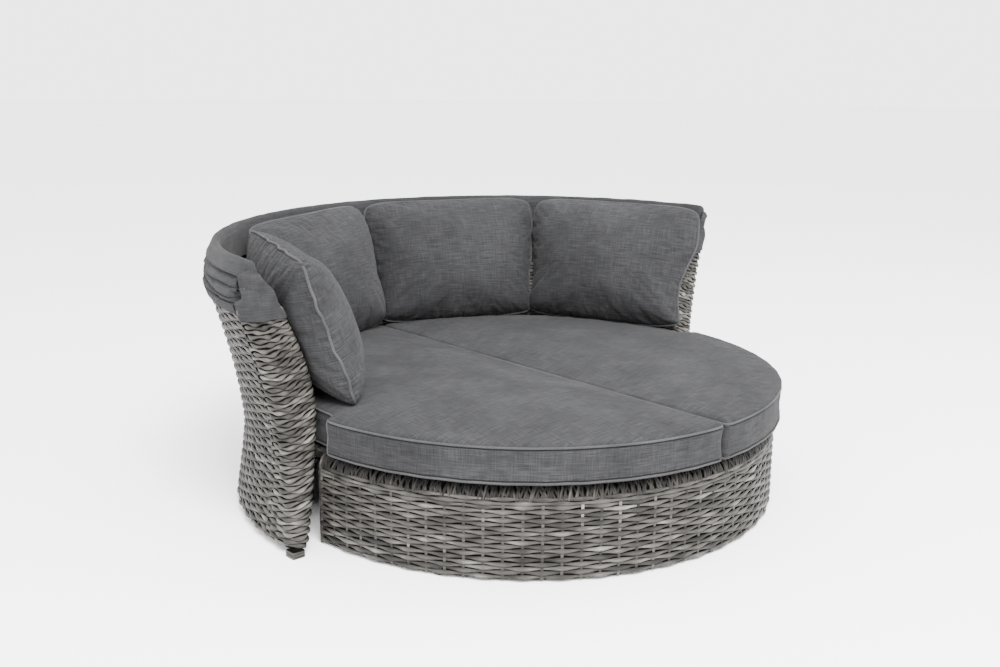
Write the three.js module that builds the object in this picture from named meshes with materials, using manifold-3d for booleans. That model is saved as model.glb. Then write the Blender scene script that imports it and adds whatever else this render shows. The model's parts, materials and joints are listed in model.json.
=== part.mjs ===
// Round outdoor daybed with a folding canopy: a woven half-circle back shell, a woven half-drum
// apron in front, a two-part round mattress, four leaning back pillows and three canopy hoops
// that turn on one axis through the shell's front top corners.
//
// Millimetres. +Z is up, the open front faces -Y, and the origin is on the floor under the centre
// of the round seat, at the middle of the centre foot.

import * as THREE from 'three';
import { mergeVertices } from 'three/addons/utils/BufferGeometryUtils.js';
import Module from 'manifold-3d';

const wasm = await Module();
wasm.setup();

// Fits

const SEAT_GAP = 0.3;            // between faces that rest on each other
const OVERRUN = 50;              // how far a cutting block runs past what it cuts
const MERGE_DISTANCE = 0.0001;   // corners closer than this are one corner
const ROUND_STEPS = 48;          // facets in a full circle of the large rings
const BAR_SIDES = 16;
const SMALL_SIDES = 12;
const HEX_SIDES = 6;

// Mattress

const MATTRESS_RADIUS = 800;     // front half, over the apron; the shell's radii follow it
const MATTRESS_FIT = 4;          // air between the rear half and the shell
const MATTRESS_THICKNESS = 120;
const MATTRESS_CROWN = 13;       // rise of the middle over the piped edge
const MATTRESS_CROWN_SHARES = [ 0.8, 0.4 ];  // how far out the crown's rings lie
const MATTRESS_WAIST = 7;        // how far the side band is drawn in
const MATTRESS_EDGE = 14;        // rounding at the two piped edges
const MATTRESS_SEAM = 1.5;       // half the gap between the two halves
const MATTRESS_STEP_AHEAD = 69;  // where the round steps in, in front of the shell's end
const MATTRESS_CORNER = 26;      // length of the slanted step
const MATTRESS_ARC_STEPS = 11;
const MATTRESS_SEAM_STEPS = 6;

// Woven shell of the back. Its faces lie outside, or at the liner's waist inside, the mattress's
// front radius by the amounts given here.

const SHELL_HEIGHT = 690;
const SHELL_FLOOR_GAP = 20;
const SHELL_FOOT_OUT = 105;      // outer face
const SHELL_WAIST_OUT = 71;
const SHELL_TOP_OUT = 166;
const SHELL_WAIST_HEIGHT = 250;
const LINER_FOOT_OUT = 52;       // inner face
const LINER_WAIST_IN = 41;
const LINER_TOP_OUT = 57;
const LINER_WAIST_HEIGHT = 390;
const OUTER_FOOT_POWER = 1.22;   // how the two faces bend out from the waist
const OUTER_FLARE_POWER = 1.55;
const LINER_FOOT_POWER = 1.45;
const LINER_FLARE_POWER = 1.7;
const WEAVE_WALL = 6;
const SHELL_STATIONS = 9;        // heights at which the faces are drawn
const END_SEAT_Y = 22;           // front edge of the shell at seat height
const END_SEAT_HEIGHT = 400;
const END_FOOT_REACH = 78;       // how far it comes forward to the floor
const END_RIM_LEAN = 22;         // and leans back to the rim
const END_FOOT_POWER = 1.3;
const END_DEPTH = 52;            // from the rim's front edge to the skins
const END_ROUND = 44;            // rounding of the outer front corner
const END_ROUND_STEPS = 3;
const RIM_HEIGHT = 30;
const RIM_ROUND = 11;
const RIB_RADIUS = 11;
const RIB_COUNT = 5;
const BASE_RING_WIDTH = 30;
const BASE_RING_HEIGHT = 20;
const SHELL_FOOT_DISC = 18;
const SHELL_FOOT_COUNT = 5;
const SHELL_FOOT_MARGIN = - 2.6; // degrees of the outermost feet from the line across the middle

// Seat frame and deck

const DECK_TOP = 266;
const DECK_THICKNESS = 8;
const SEAT_RING_CLEARANCE = 9;   // from the seat ring's outer face to the liner's waist
const SEAT_RING_TUBE = 25;
const RING_TAB_COUNT = 5;
const RING_TAB_WIDTH = 40;
const RING_TAB_HEIGHT = 6;
const SLAT_COUNT = 5;
const SLAT_PITCH_SHARE = 0.3333; // of the seat ring's radius
const SLAT_WIDTH = 40;
const SLAT_HEIGHT = 18;
const BEAM_SIZE = 30;
const LEG_RADIUS = 15;
const LEG_PITCH = 440;
const LEG_FOOT_RADIUS = 26;
const LEG_FOOT_HEIGHT = 10;

// Woven apron under the front half of the seat

const APRON_INSET = 17;          // from the mattress's front edge
const APRON_SHOULDER = 52;       // height over which the side turns in to the deck
const APRON_SHOULDER_STEPS = 4;
const APRON_FLOOR_GAP = 8;
const APRON_END_GAP = 11;        // in front of the shell's end, at the deck
const APRON_END_DEPTH = 8;
const APRON_RAIL = 20;
const APRON_POSTS = [ - 150, - 90, - 30 ];  // degrees round the seat
const APRON_POST_RADIUS = 10;
const GLIDE_RADIUS = 14;

// Back pillows, four to the half circle, from the left

const PILLOW_COUNT = 4;
const PILLOW_WIDTH = 620;
const PILLOW_HEIGHT = 450;
const PILLOW_EDGE = 9;           // thickness at the piped edge
const PILLOW_FRONT = 112;        // fullness in front of the piped edge, and behind it
const PILLOW_BACK = 92;
const PILLOW_SAG_SHARE = 0.16;   // by which the lower edge is fuller than the middle
const PILLOW_FULLNESS = 3.4;     // higher is fuller near the edges
const PILLOW_DRAW = 14;          // how far the sides pull in between the corners
const PILLOW_CORNER_DROOP = 10;
const PILLOW_SEAM_GAP = 1;       // from the plane between two pillows
const PILLOW_CORNER_GAP = 20;    // from the lower corners to the liner's waist
const PILLOW_START_LIFT = 12;    // height over the mattress from which a pillow is let down
const PILLOW_INSET_SHARES = [ 0.075, 0, 0, 0 ];     // of the width, towards the middle
const PILLOW_SLIDE_SHARES = [ 0.025, 0, 0, - 0.004 ]; // of the width, to the left
const PILLOW_TURNS = [ 4, 0, 0, 0 ];                // degrees
const PILLOW_LEANS = [ 19, 18, 17, 18 ];            // degrees from upright
const PILLOW_COLUMNS = 12;
const PILLOW_ROWS = 10;

// Canopy. Hoops lie inside the rim's outer radius and above the rim; places along Y are counted
// from the rim's front edge.

const PIVOT_BACK = 24;
const PIVOT_RISE = 52;
const HOOP_TUBE = 9;
const HOOP_SIDES = 8;
const HOOP_INSET = { rear: 22, mid: 28, front: 34 };
const HOOP_RISE = { rear: 45, mid: 76, front: 107 };
const HOOP_START = { rear: 42, mid: 42, front: 26 };
const LUG_THICKNESS = 4;
const LUG_EYE = 12;
const LUG_ARM = 15;
const LUG_PAD_LENGTH = 32;
const LUG_PAD_HEIGHT = 15;
const LUG_WELD = 3;              // how deep a lug bites into its tube
const BOLT_RADIUS = 5;
const BOLT_CLEARANCE = 0.35;
const BOLT_HEAD_RADIUS = 9;
const BOLT_HEAD = 6;
const BRACKET_PLATE = 4;
const BRACKET_LENGTH = 36;
const BRACKET_WIDTH = 44;
const BRACKET_EAR = 13;
const CLOTH = 3;                 // thickness of a cloth solid
const CLOTH_GAP = 0.7;           // between a cap and the shell's end
const SLEEVE_WALL = 3;
const SLEEVE_DROP = 36;          // hem hanging under the front tube
const FOLD_OUT = 14;             // how far the folds stand out past the hoops
const PANEL_FOLDS = 2;
const POUCH_FRONT = 10;          // how far the sleeve's end pouch reaches past the pivot
const POUCH_DROP = 18;           // its walls below the front tube's middle
const CAP_SKIRT = 35;            // how far a cap reaches down from the rim's top
const CAP_INNER_RISE = 6;        // its upper edge over the rim, on the seat's side
const CAP_OUTER_RISE = 50;       // and on the outside

// Finishes

const FINISH = {
	weave: { color: 0x7d7873, roughness: 0.6, metalness: 0 },
	cushion: { color: 0x5c5c60, roughness: 0.95, metalness: 0 },
	canopy: { color: 0x6e6e72, roughness: 0.9, metalness: 0 },
	frame: { color: 0x3a3a3c, roughness: 0.45, metalness: 0.6 },
	hoop: { color: 0x55565a, roughness: 0.4, metalness: 0.7 },
	fastener: { color: 0xa8aaad, roughness: 0.3, metalness: 0.9 },
	glide: { color: 0x222224, roughness: 0.7, metalness: 0 },
};

const materials = Object.fromEntries(
	Object.entries( FINISH ).map( ( [ name, finish ] ) => [ name, new THREE.MeshStandardMaterial( finish ) ] )
);

// Solids: a geometry becomes a closed solid, and a solid becomes a geometry again

function signedVolume( positions, triangles ) {

	const a = new THREE.Vector3();
	const b = new THREE.Vector3();
	const c = new THREE.Vector3();
	let volume = 0;
	for ( let i = 0; i < triangles.length; i += 3 ) {

		a.fromArray( positions, 3 * triangles[ i ] );
		b.fromArray( positions, 3 * triangles[ i + 1 ] );
		c.fromArray( positions, 3 * triangles[ i + 2 ] );
		volume += a.dot( b.cross( c ) ) / 6;

	}

	return volume;

}

function solid( geometry ) {

	const bare = geometry.clone();
	bare.deleteAttribute( 'normal' );
	bare.deleteAttribute( 'uv' );
	const merged = mergeVertices( bare, MERGE_DISTANCE );
	const vertProperties = new Float32Array( merged.attributes.position.array );
	const corners = [ ...merged.index.array ];
	const kept = [];
	for ( let i = 0; i < corners.length; i += 3 ) {

		const [ a, b, c ] = corners.slice( i, i + 3 );
		if ( a !== b && b !== c && c !== a ) kept.push( a, b, c );

	}

	if ( signedVolume( vertProperties, kept ) < 0 ) kept.reverse();
	const triVerts = new Uint32Array( kept );
	return new wasm.Manifold( new wasm.Mesh( { numProp: 3, vertProperties, triVerts } ) );

}

function geometryOf( body ) {

	const mesh = body.getMesh();
	const geometry = new THREE.BufferGeometry();
	const stride = mesh.numProp;
	const positions = new Float32Array( mesh.vertProperties.length / stride * 3 );
	for ( let i = 0; i < positions.length / 3; i ++ ) {

		for ( let k = 0; k < 3; k ++ ) positions[ 3 * i + k ] = mesh.vertProperties[ stride * i + k ];

	}

	geometry.setAttribute( 'position', new THREE.BufferAttribute( positions, 3 ) );
	geometry.setIndex( new THREE.BufferAttribute( new Uint32Array( mesh.triVerts ), 1 ) );
	geometry.computeVertexNormals();
	return geometry;

}

const daybed = new THREE.Group();
daybed.name = 'daybed';

function add( name, body, material ) {

	const mesh = new THREE.Mesh( geometryOf( body ), materials[ material ] );
	mesh.name = name;
	daybed.add( mesh );

}

// Radii and heights that follow the mattress and the shell

const shellTop = MATTRESS_RADIUS + SHELL_TOP_OUT;
const shellFoot = MATTRESS_RADIUS + SHELL_FOOT_OUT;
const linerWaist = MATTRESS_RADIUS - LINER_WAIST_IN;
const seatRingRadius = linerWaist - SEAT_RING_CLEARANCE;
const apronRadius = MATTRESS_RADIUS - APRON_INSET;
const endRimY = END_SEAT_Y + END_RIM_LEAN;
const endBackY = endRimY + END_DEPTH;
const pivotY = endRimY + PIVOT_BACK;
const pivotZ = SHELL_HEIGHT + PIVOT_RISE;
const facetDepth = Math.cos( Math.PI / ROUND_STEPS );  // how far in a facet's middle lies

// Basic bodies

function block( low, high ) {

	const size = high.map( ( value, k ) => value - low[ k ] );
	const geometry = new THREE.BoxGeometry( ...size );
	geometry.translate( ...low.map( ( value, k ) => value + size[ k ] / 2 ) );
	return solid( geometry );

}

// A full ring or disc turned about Z from a closed outline of [ radius, height ] pairs
function turned( outline, steps = ROUND_STEPS ) {

	const points = outline.map( ( [ radius, height ] ) => new THREE.Vector2( radius, height ) );
	points.push( points[ 0 ].clone() );
	const geometry = new THREE.LatheGeometry( points, steps );
	geometry.rotateX( Math.PI / 2 );
	return solid( geometry );

}

// The part of a body that lies behind, or in front of, a plane across Y
function behind( body, y ) {

	const reach = shellTop + OVERRUN;
	return body.intersect( block( [ - reach, y, - OVERRUN ], [ reach, reach, reach ] ) );

}

function inFront( body, y ) {

	const reach = shellTop + OVERRUN;
	return body.intersect( block( [ - reach, - reach, - OVERRUN ], [ reach, y, reach ] ) );

}

function disc( radius, low, high, x, y, sides = BAR_SIDES ) {

	const geometry = new THREE.CylinderGeometry( radius, radius, high - low, sides );
	geometry.rotateX( Math.PI / 2 );
	geometry.translate( x, y, ( low + high ) / 2 );
	return solid( geometry );

}

// A round bar along X
function crossBar( radius, low, high, y, z, sides = BAR_SIDES ) {

	const geometry = new THREE.CylinderGeometry( radius, radius, high - low, sides );
	geometry.rotateZ( Math.PI / 2 );
	geometry.translate( ( low + high ) / 2, y, z );
	return solid( geometry );

}

// A body through closed sections that all have the same number of points, fanned shut at both ends
function lofted( sections ) {

	const count = sections[ 0 ].length;
	const positions = sections.flat( 2 );
	const triangles = [];
	for ( let ring = 0; ring < sections.length - 1; ring ++ ) {

		for ( let i = 0; i < count; i ++ ) {

			const next = ( i + 1 ) % count;
			const [ a, b ] = [ ring * count + i, ring * count + next ];
			triangles.push( a, b, a + count, b, b + count, a + count );

		}

	}

	const ends = [ [ sections[ 0 ], 0, true ], [ sections.at( - 1 ), ( sections.length - 1 ) * count, false ] ];
	for ( const [ section, first, flip ] of ends ) {

		const middle = positions.length / 3;
		for ( let k = 0; k < 3; k ++ ) positions.push( section.reduce( ( sum, p ) => sum + p[ k ], 0 ) / count );
		for ( let i = 0; i < count; i ++ ) {

			const [ a, b ] = [ first + i, first + ( i + 1 ) % count ];
			triangles.push( ...( flip ? [ b, a, middle ] : [ a, b, middle ] ) );

		}

	}

	const geometry = new THREE.BufferGeometry();
	geometry.setAttribute( 'position', new THREE.BufferAttribute( new Float32Array( positions ), 3 ) );
	geometry.setIndex( triangles );
	return solid( geometry );

}

const radians = THREE.MathUtils.degToRad;

function around( radius, degrees, z ) {

	return [ radius * Math.cos( radians( degrees ) ), radius * Math.sin( radians( degrees ) ), z ];

}

// The shell's two faces: each is narrowest at its waist and flares to the floor and to the rim

function flare( z, waist, foot, top, waistHeight, footPower, topPower ) {

	if ( z < waistHeight ) return waist + ( foot - waist ) * ( ( waistHeight - z ) / waistHeight ) ** footPower;
	const share = Math.min( ( z - waistHeight ) / ( SHELL_HEIGHT - waistHeight ), 1 );
	return waist + ( top - waist ) * share ** topPower;

}

function outerFace( z ) {

	const radii = [ MATTRESS_RADIUS + SHELL_WAIST_OUT, shellFoot, shellTop ];
	return flare( z, ...radii, SHELL_WAIST_HEIGHT, OUTER_FOOT_POWER, OUTER_FLARE_POWER );

}

function innerFace( z ) {

	const radii = [ linerWaist, MATTRESS_RADIUS + LINER_FOOT_OUT, MATTRESS_RADIUS + LINER_TOP_OUT ];
	return flare( z, ...radii, LINER_WAIST_HEIGHT, LINER_FOOT_POWER, LINER_FLARE_POWER );

}

// The shell's front edge: it reaches forward at the floor and leans back a little to the rim
function endFace( z ) {

	return flare( z, END_SEAT_Y, END_SEAT_Y - END_FOOT_REACH, endRimY, END_SEAT_HEIGHT, END_FOOT_POWER, 1 );

}

const rimLow = SHELL_HEIGHT - RIM_HEIGHT;
const wallTop = rimLow - SEAT_GAP;

function stations( low, high, count = SHELL_STATIONS ) {

	return Array.from( { length: count }, ( _, i ) => low + ( high - low ) * i / ( count - 1 ) );

}

const wallHeights = stations( SHELL_FLOOR_GAP, wallTop );
const skinStart = endBackY + SEAT_GAP;

function skin( face, inward ) {

	const outside = wallHeights.map( ( z ) => [ face( z ), z ] );
	const inside = wallHeights.map( ( z ) => [ face( z ) + inward * WEAVE_WALL, z ] ).reverse();
	return behind( turned( [ ...outside, ...inside ] ), skinStart );

}

add( 'shell_outer_skin', skin( outerFace, - 1 ), 'weave' );
add( 'shell_inner_skin', skin( innerFace, 1 ), 'weave' );

// Woven end of the shell: straight on the inside, rounded at the outer front corner. A section can
// be grown outward, for what is drawn over the end.

const onFace = ( radius, y ) => Math.sqrt( radius * radius - y * y );

function endSection( z, side, grow = 0, back = endBackY ) {

	const inner = innerFace( z ) - grow;
	const outer = outerFace( z ) + grow;
	const front = endFace( z ) - grow;
	const corner = Array.from( { length: END_ROUND_STEPS + 1 }, ( _, step ) => {

		const turn = step / END_ROUND_STEPS * Math.PI / 2;
		const y = front + END_ROUND * ( 1 - Math.sin( turn ) );
		return [ onFace( outer, y ) - END_ROUND * ( 1 - Math.cos( turn ) ), y ];

	} ).reverse();
	const points = [
		[ onFace( outer, back ), back ], [ onFace( inner, back ), back ],
		[ onFace( inner, front ), front ], ...corner,
	];
	return points.map( ( [ x, y ] ) => [ side * x, y, z ] );

}

const SIDES = { left: - 1, right: 1 };
for ( const [ name, side ] of Object.entries( SIDES ) ) {

	add( `shell_end_${ name }`, lofted( wallHeights.map( ( z ) => endSection( z, side ) ) ), 'weave' );

}

// Wrapped rim that closes the top of the shell, with its edges rounded

function rim() {

	const shoulder = SHELL_HEIGHT - RIM_ROUND;
	const outline = [
		[ innerFace( rimLow ), rimLow ], [ outerFace( rimLow ), rimLow ],
		[ outerFace( shoulder ), shoulder ], [ outerFace( SHELL_HEIGHT ) - RIM_ROUND, SHELL_HEIGHT ],
		[ innerFace( SHELL_HEIGHT ) + RIM_ROUND, SHELL_HEIGHT ], [ innerFace( shoulder ), shoulder ],
	];
	const arch = behind( turned( outline ), endBackY );
	return Object.values( SIDES ).reduce( ( body, side ) => {

		const lower = [ rimLow, shoulder ].map( ( z ) => endSection( z, side, 0, endBackY + SEAT_GAP ) );
		const top = endSection( SHELL_HEIGHT, side, - RIM_ROUND, endBackY + SEAT_GAP );
		return body.add( lofted( [ ...lower, top ] ) );

	}, arch );

}

add( 'shell_rim', rim(), 'weave' );

// Steel inside the shell: a ring at the floor, and ribs that carry the rim

const cavityMiddle = ( z ) => ( innerFace( z ) + outerFace( z ) ) / 2;
const baseRingLow = SHELL_FLOOR_GAP + SEAT_GAP;
const baseRingHigh = baseRingLow + BASE_RING_HEIGHT;
const baseRingRadius = cavityMiddle( SHELL_FLOOR_GAP );
const baseRingInner = baseRingRadius - BASE_RING_WIDTH / 2;
const baseRingOuter = baseRingRadius + BASE_RING_WIDTH / 2;
const baseRing = [
	[ baseRingInner, baseRingLow ], [ baseRingOuter, baseRingLow ],
	[ baseRingOuter, baseRingHigh ], [ baseRingInner, baseRingHigh ],
];
add( 'shell_base_ring', behind( turned( baseRing ), skinStart + SEAT_GAP ), 'frame' );

function fan( count, margin ) {

	return Array.from( { length: count }, ( _, i ) => margin + ( 180 - 2 * margin ) * i / ( count - 1 ) );

}

const ribMargin = 180 / ( RIB_COUNT + 1 );
fan( RIB_COUNT, ribMargin ).forEach( ( degrees, i ) => {

	const low = baseRingHigh + SEAT_GAP;
	const high = rimLow - SEAT_GAP;
	const curve = new THREE.CatmullRomCurve3( stations( low, high ).map( ( z ) => {

		const start = baseRingRadius - cavityMiddle( low );
		const share = ( high - z ) / ( high - low );
		return new THREE.Vector3( ...around( cavityMiddle( z ) + start * share, degrees, z ) );

	} ) );
	const section = new THREE.Shape();
	section.absarc( 0, 0, RIB_RADIUS, 0, 2 * Math.PI );
	const body = solid( new THREE.ExtrudeGeometry(
		section, { steps: SHELL_STATIONS - 1, extrudePath: curve, curveSegments: 4, bevelEnabled: false }
	) );
	const reach = shellTop + OVERRUN;
	const between = block( [ - reach, - reach, low ], [ reach, reach, high ] );
	add( `shell_rib_${ i + 1 }`, body.intersect( between ), 'frame' );

} );

fan( SHELL_FOOT_COUNT, SHELL_FOOT_MARGIN ).forEach( ( degrees, i ) => {

	const [ x, y ] = around( shellFoot - SHELL_FOOT_DISC, degrees, 0 );
	add( `shell_foot_${ i + 1 }`, disc( SHELL_FOOT_DISC, 0, SHELL_FLOOR_GAP - SEAT_GAP, x, y ), 'glide' );

} );

// Seat ring, slats, middle beam and legs, with the woven deck on top

const deckLow = DECK_TOP - DECK_THICKNESS;
const ringHigh = deckLow - SEAT_GAP;
const ringLow = ringHigh - SEAT_RING_TUBE;
const ringInner = seatRingRadius - SEAT_RING_TUBE;
const seatRing = [
	[ ringInner, ringLow ], [ seatRingRadius, ringLow ], [ seatRingRadius, ringHigh ], [ ringInner, ringHigh ],
];
const ringSplit = endFace( DECK_TOP ) - APRON_END_GAP;
add( 'seat_ring_front', inFront( turned( seatRing ), ringSplit ), 'frame' );

// Tabs on the rear half reach the shell's inner face and tie the seat to it
function ringTab( degrees ) {

	const face = innerFace( ringLow + RING_TAB_HEIGHT / 2 ) * facetDepth;
	const reach = onFace( face, RING_TAB_WIDTH / 2 ) - SEAT_GAP;
	const geometry = new THREE.BoxGeometry( reach - ringInner, RING_TAB_WIDTH, RING_TAB_HEIGHT );
	geometry.translate( ( reach + ringInner ) / 2, 0, ringLow + RING_TAB_HEIGHT / 2 );
	geometry.rotateZ( radians( degrees ) );
	return solid( geometry );

}

const ringRear = behind( turned( seatRing ), ringSplit + SEAT_GAP );
const tabMargin = 180 / ( RING_TAB_COUNT + 1 );
const tabs = fan( RING_TAB_COUNT, tabMargin ).map( ringTab );
add( 'seat_ring_rear', tabs.reduce( ( body, tab ) => body.add( tab ), ringRear ), 'weave' );

const slatLow = ringHigh - SLAT_HEIGHT;
for ( let i = 0; i < SLAT_COUNT; i ++ ) {

	const y = ( i - ( SLAT_COUNT - 1 ) / 2 ) * seatRingRadius * SLAT_PITCH_SHARE;
	const farEdge = Math.abs( y ) + SLAT_WIDTH / 2;
	const half = Math.sqrt( ( ringInner * facetDepth ) ** 2 - farEdge ** 2 ) - SEAT_GAP;
	const body = block( [ - half, y - SLAT_WIDTH / 2, slatLow ], [ half, y + SLAT_WIDTH / 2, ringHigh ] );
	add( `seat_slat_${ i + 1 }`, body, 'frame' );

}

const beamHigh = slatLow - SEAT_GAP;
const beamLow = beamHigh - BEAM_SIZE;
const beamHalf = ringInner * facetDepth - SEAT_GAP;
const beamSide = BEAM_SIZE / 2;
add( 'seat_beam', block( [ - beamSide, - beamHalf, beamLow ], [ beamSide, beamHalf, beamHigh ] ), 'frame' );

[ 'front', 'centre', 'rear' ].forEach( ( name, i ) => {

	const y = ( i - 1 ) * LEG_PITCH;
	const low = LEG_FOOT_HEIGHT + SEAT_GAP;
	add( `${ name }_leg`, disc( LEG_RADIUS, low, beamLow - SEAT_GAP, 0, y ), 'frame' );
	add( `${ name }_leg_foot`, disc( LEG_FOOT_RADIUS, 0, LEG_FOOT_HEIGHT, 0, y ), 'glide' );

} );

const deckRadius = seatRingRadius + SEAT_GAP;
const deckOutline = [ [ 0, deckLow ], [ deckRadius, deckLow ], [ deckRadius, DECK_TOP ], [ 0, DECK_TOP ] ];
add( 'woven_deck', turned( deckOutline ), 'weave' );

// Apron: an upright wall whose top turns in over a round shoulder to the deck

const apronLip = DECK_TOP - APRON_SHOULDER;
const shoulderDepth = apronRadius - deckRadius - SEAT_GAP;

function apronOutline() {

	const arc = ( inset ) => Array.from( { length: APRON_SHOULDER_STEPS + 1 }, ( _, step ) => {

		const turn = step / APRON_SHOULDER_STEPS * Math.PI / 2;
		return [
			apronRadius - shoulderDepth + ( shoulderDepth - inset ) * Math.cos( turn ),
			apronLip + ( APRON_SHOULDER - inset ) * Math.sin( turn ),
		];

	} );
	return [
		[ apronRadius, APRON_FLOOR_GAP ], ...arc( 0 ),
		...arc( WEAVE_WALL ).reverse(), [ apronRadius - WEAVE_WALL, APRON_FLOOR_GAP ],
	];

}

const apronSkinEnd = ringSplit - APRON_END_DEPTH - SEAT_GAP;
add( 'apron_skin', inFront( turned( apronOutline() ), apronSkinEnd ), 'weave' );

const railOuter = apronRadius - WEAVE_WALL - SEAT_GAP;
const railInner = railOuter - APRON_RAIL;
const railHigh = APRON_FLOOR_GAP + APRON_RAIL;
const rail = [
	[ railInner, APRON_FLOOR_GAP ], [ railOuter, APRON_FLOOR_GAP ],
	[ railOuter, railHigh ], [ railInner, railHigh ],
];
add( 'apron_rail', inFront( turned( rail ), apronSkinEnd ), 'frame' );

const postRadius = ( seatRingRadius + railInner ) / 2;
APRON_POSTS.forEach( ( degrees, i ) => {

	const [ x, y ] = around( postRadius, degrees, 0 );
	const post = disc( APRON_POST_RADIUS, railHigh + SEAT_GAP, ringLow - SEAT_GAP, x, y, SMALL_SIDES );
	add( `apron_post_${ i + 1 }`, post, 'frame' );
	const [ glideX, glideY ] = around( ( railInner + railOuter ) / 2 - GLIDE_RADIUS / 2, degrees, 0 );
	const glide = disc( GLIDE_RADIUS, 0, APRON_FLOOR_GAP - SEAT_GAP, glideX, glideY, SMALL_SIDES );
	add( `apron_glide_${ i + 1 }`, glide, 'glide' );

} );

for ( const [ name, side ] of Object.entries( SIDES ) ) {

	const top = apronOutline().slice( 1, APRON_SHOULDER_STEPS + 2 );
	const points = [
		[ apronRadius, APRON_FLOOR_GAP ], ...top, [ deckRadius + SEAT_GAP, ringLow - SEAT_GAP ],
		[ ringInner, ringLow - SEAT_GAP ], [ ringInner, APRON_FLOOR_GAP ],
	];
	const shape = new THREE.Shape( points.map( ( [ x, z ] ) => new THREE.Vector2( x, z ) ) );
	const geometry = new THREE.ExtrudeGeometry( shape, { depth: APRON_END_DEPTH, bevelEnabled: false } );
	geometry.rotateX( Math.PI / 2 );
	geometry.translate( 0, ringSplit, 0 );
	if ( side < 0 ) geometry.scale( - 1, 1, 1 );
	add( `apron_end_${ name }`, solid( geometry ), 'weave' );

}

// Mattress: two halves that meet on the middle line; each is crowned and its side band is drawn in

const mattressLow = DECK_TOP + SEAT_GAP;
const mattressHigh = mattressLow + MATTRESS_THICKNESS;
const mattressRear = linerWaist * facetDepth - MATTRESS_FIT;
const mattressStep = endFace( mattressLow ) - MATTRESS_STEP_AHEAD;

function halfOutline() {

	const points = [];
	const stepAngle = THREE.MathUtils.radToDeg( Math.asin( mattressStep / MATTRESS_RADIUS ) );
	const rearStart = mattressStep + MATTRESS_CORNER;
	const rearAngle = THREE.MathUtils.radToDeg( Math.asin( rearStart / mattressRear ) );
	const seamFront = THREE.MathUtils.radToDeg( Math.asin( MATTRESS_SEAM / MATTRESS_RADIUS ) );
	const seamRear = THREE.MathUtils.radToDeg( Math.asin( MATTRESS_SEAM / mattressRear ) );
	const frontArc = [ - 90 + seamFront, stepAngle ];
	const rearArc = [ rearAngle, 90 - seamRear ];
	const arcs = [ [ MATTRESS_RADIUS, ...frontArc ], [ mattressRear, ...rearArc ] ];
	for ( const [ radius, from, to ] of arcs ) {

		for ( let i = 0; i <= MATTRESS_ARC_STEPS; i ++ ) {

			points.push( around( radius, from + ( to - from ) * i / MATTRESS_ARC_STEPS, 0 ) );

		}

	}

	const [ first, last ] = [ points[ 0 ], points.at( - 1 ) ];
	for ( let i = 1; i < MATTRESS_SEAM_STEPS; i ++ ) {

		const share = i / MATTRESS_SEAM_STEPS;
		points.push( [ last[ 0 ], last[ 1 ] + ( first[ 1 ] - last[ 1 ] ) * share, 0 ] );

	}

	return points;

}

function mattressHalf( side ) {

	const outline = halfOutline();
	const middle = [ 0, 1 ].map( ( k ) => outline.reduce( ( sum, p ) => sum + p[ k ], 0 ) / outline.length );
	const inset = ( distance, z ) => outline.map( ( [ x, y ] ) => {

		const [ dx, dy ] = [ x - middle[ 0 ], y - middle[ 1 ] ];
		const keep = 1 - distance / Math.hypot( dx, dy );
		return [ side * ( middle[ 0 ] + dx * keep ), middle[ 1 ] + dy * keep, z ];

	} );
	const crownRing = ( share ) => outline.map( ( [ x, y ] ) => [
		side * ( middle[ 0 ] + ( x - middle[ 0 ] ) * share ), middle[ 1 ] + ( y - middle[ 1 ] ) * share,
		mattressHigh + MATTRESS_CROWN * ( 1 - share * share ),
	] );
	return lofted( [
		inset( MATTRESS_EDGE, mattressLow ),
		inset( 0, mattressLow + MATTRESS_EDGE ),
		inset( MATTRESS_WAIST, ( mattressLow + mattressHigh ) / 2 ),
		inset( 0, mattressHigh - MATTRESS_EDGE ),
		inset( MATTRESS_EDGE, mattressHigh ),
		...MATTRESS_CROWN_SHARES.map( crownRing ),
	] );

}

const mattressHalves = Object.entries( SIDES ).map( ( [ name, side ] ) => {

	const half = mattressHalf( side );
	add( `mattress_${ name }`, half, 'cushion' );
	return half;

} );

// Back pillows: knife-edged, full in the middle, and pressed to the shell's curve behind

const pillowFit = CLOTH + CLOTH_GAP + SEAT_GAP;
const pillowSector = 180 / PILLOW_COUNT;
const ROOM_PASSES = 3;

// How far a point can move back, square to a leaning pillow, before it meets the shell
function roomBehind( point, out, tilt ) {

	const ahead = point.x * out.x + point.y * out.y;
	const beside = point.x * out.y - point.y * out.x;
	let reach = 0;
	for ( let pass = 0; pass < ROOM_PASSES; pass ++ ) {

		const wall = innerFace( point.z - reach * Math.sin( tilt ) ) * facetDepth - pillowFit;
		reach = ( onFace( wall, beside ) - ahead ) / Math.cos( tilt );

	}

	return reach;

}

// How far a pillow can reach to one side before it meets the plane between it and its neighbour,
// and before its piped edge meets the shell
function roomBeside( point, degrees ) {

	const [ x, y ] = around( 1, degrees, 0 );
	return ( point.x * x + point.y * y ) * Math.tan( radians( pillowSector / 2 ) ) - PILLOW_SEAM_GAP;

}

function roomInShell( edge, degrees ) {

	if ( edge.z > SHELL_HEIGHT ) return PILLOW_WIDTH;
	const [ x, y ] = around( 1, degrees, 0 );
	return onFace( innerFace( edge.z ) * facetDepth - pillowFit, edge.x * x + edge.y * y + PILLOW_EDGE );

}

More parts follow.
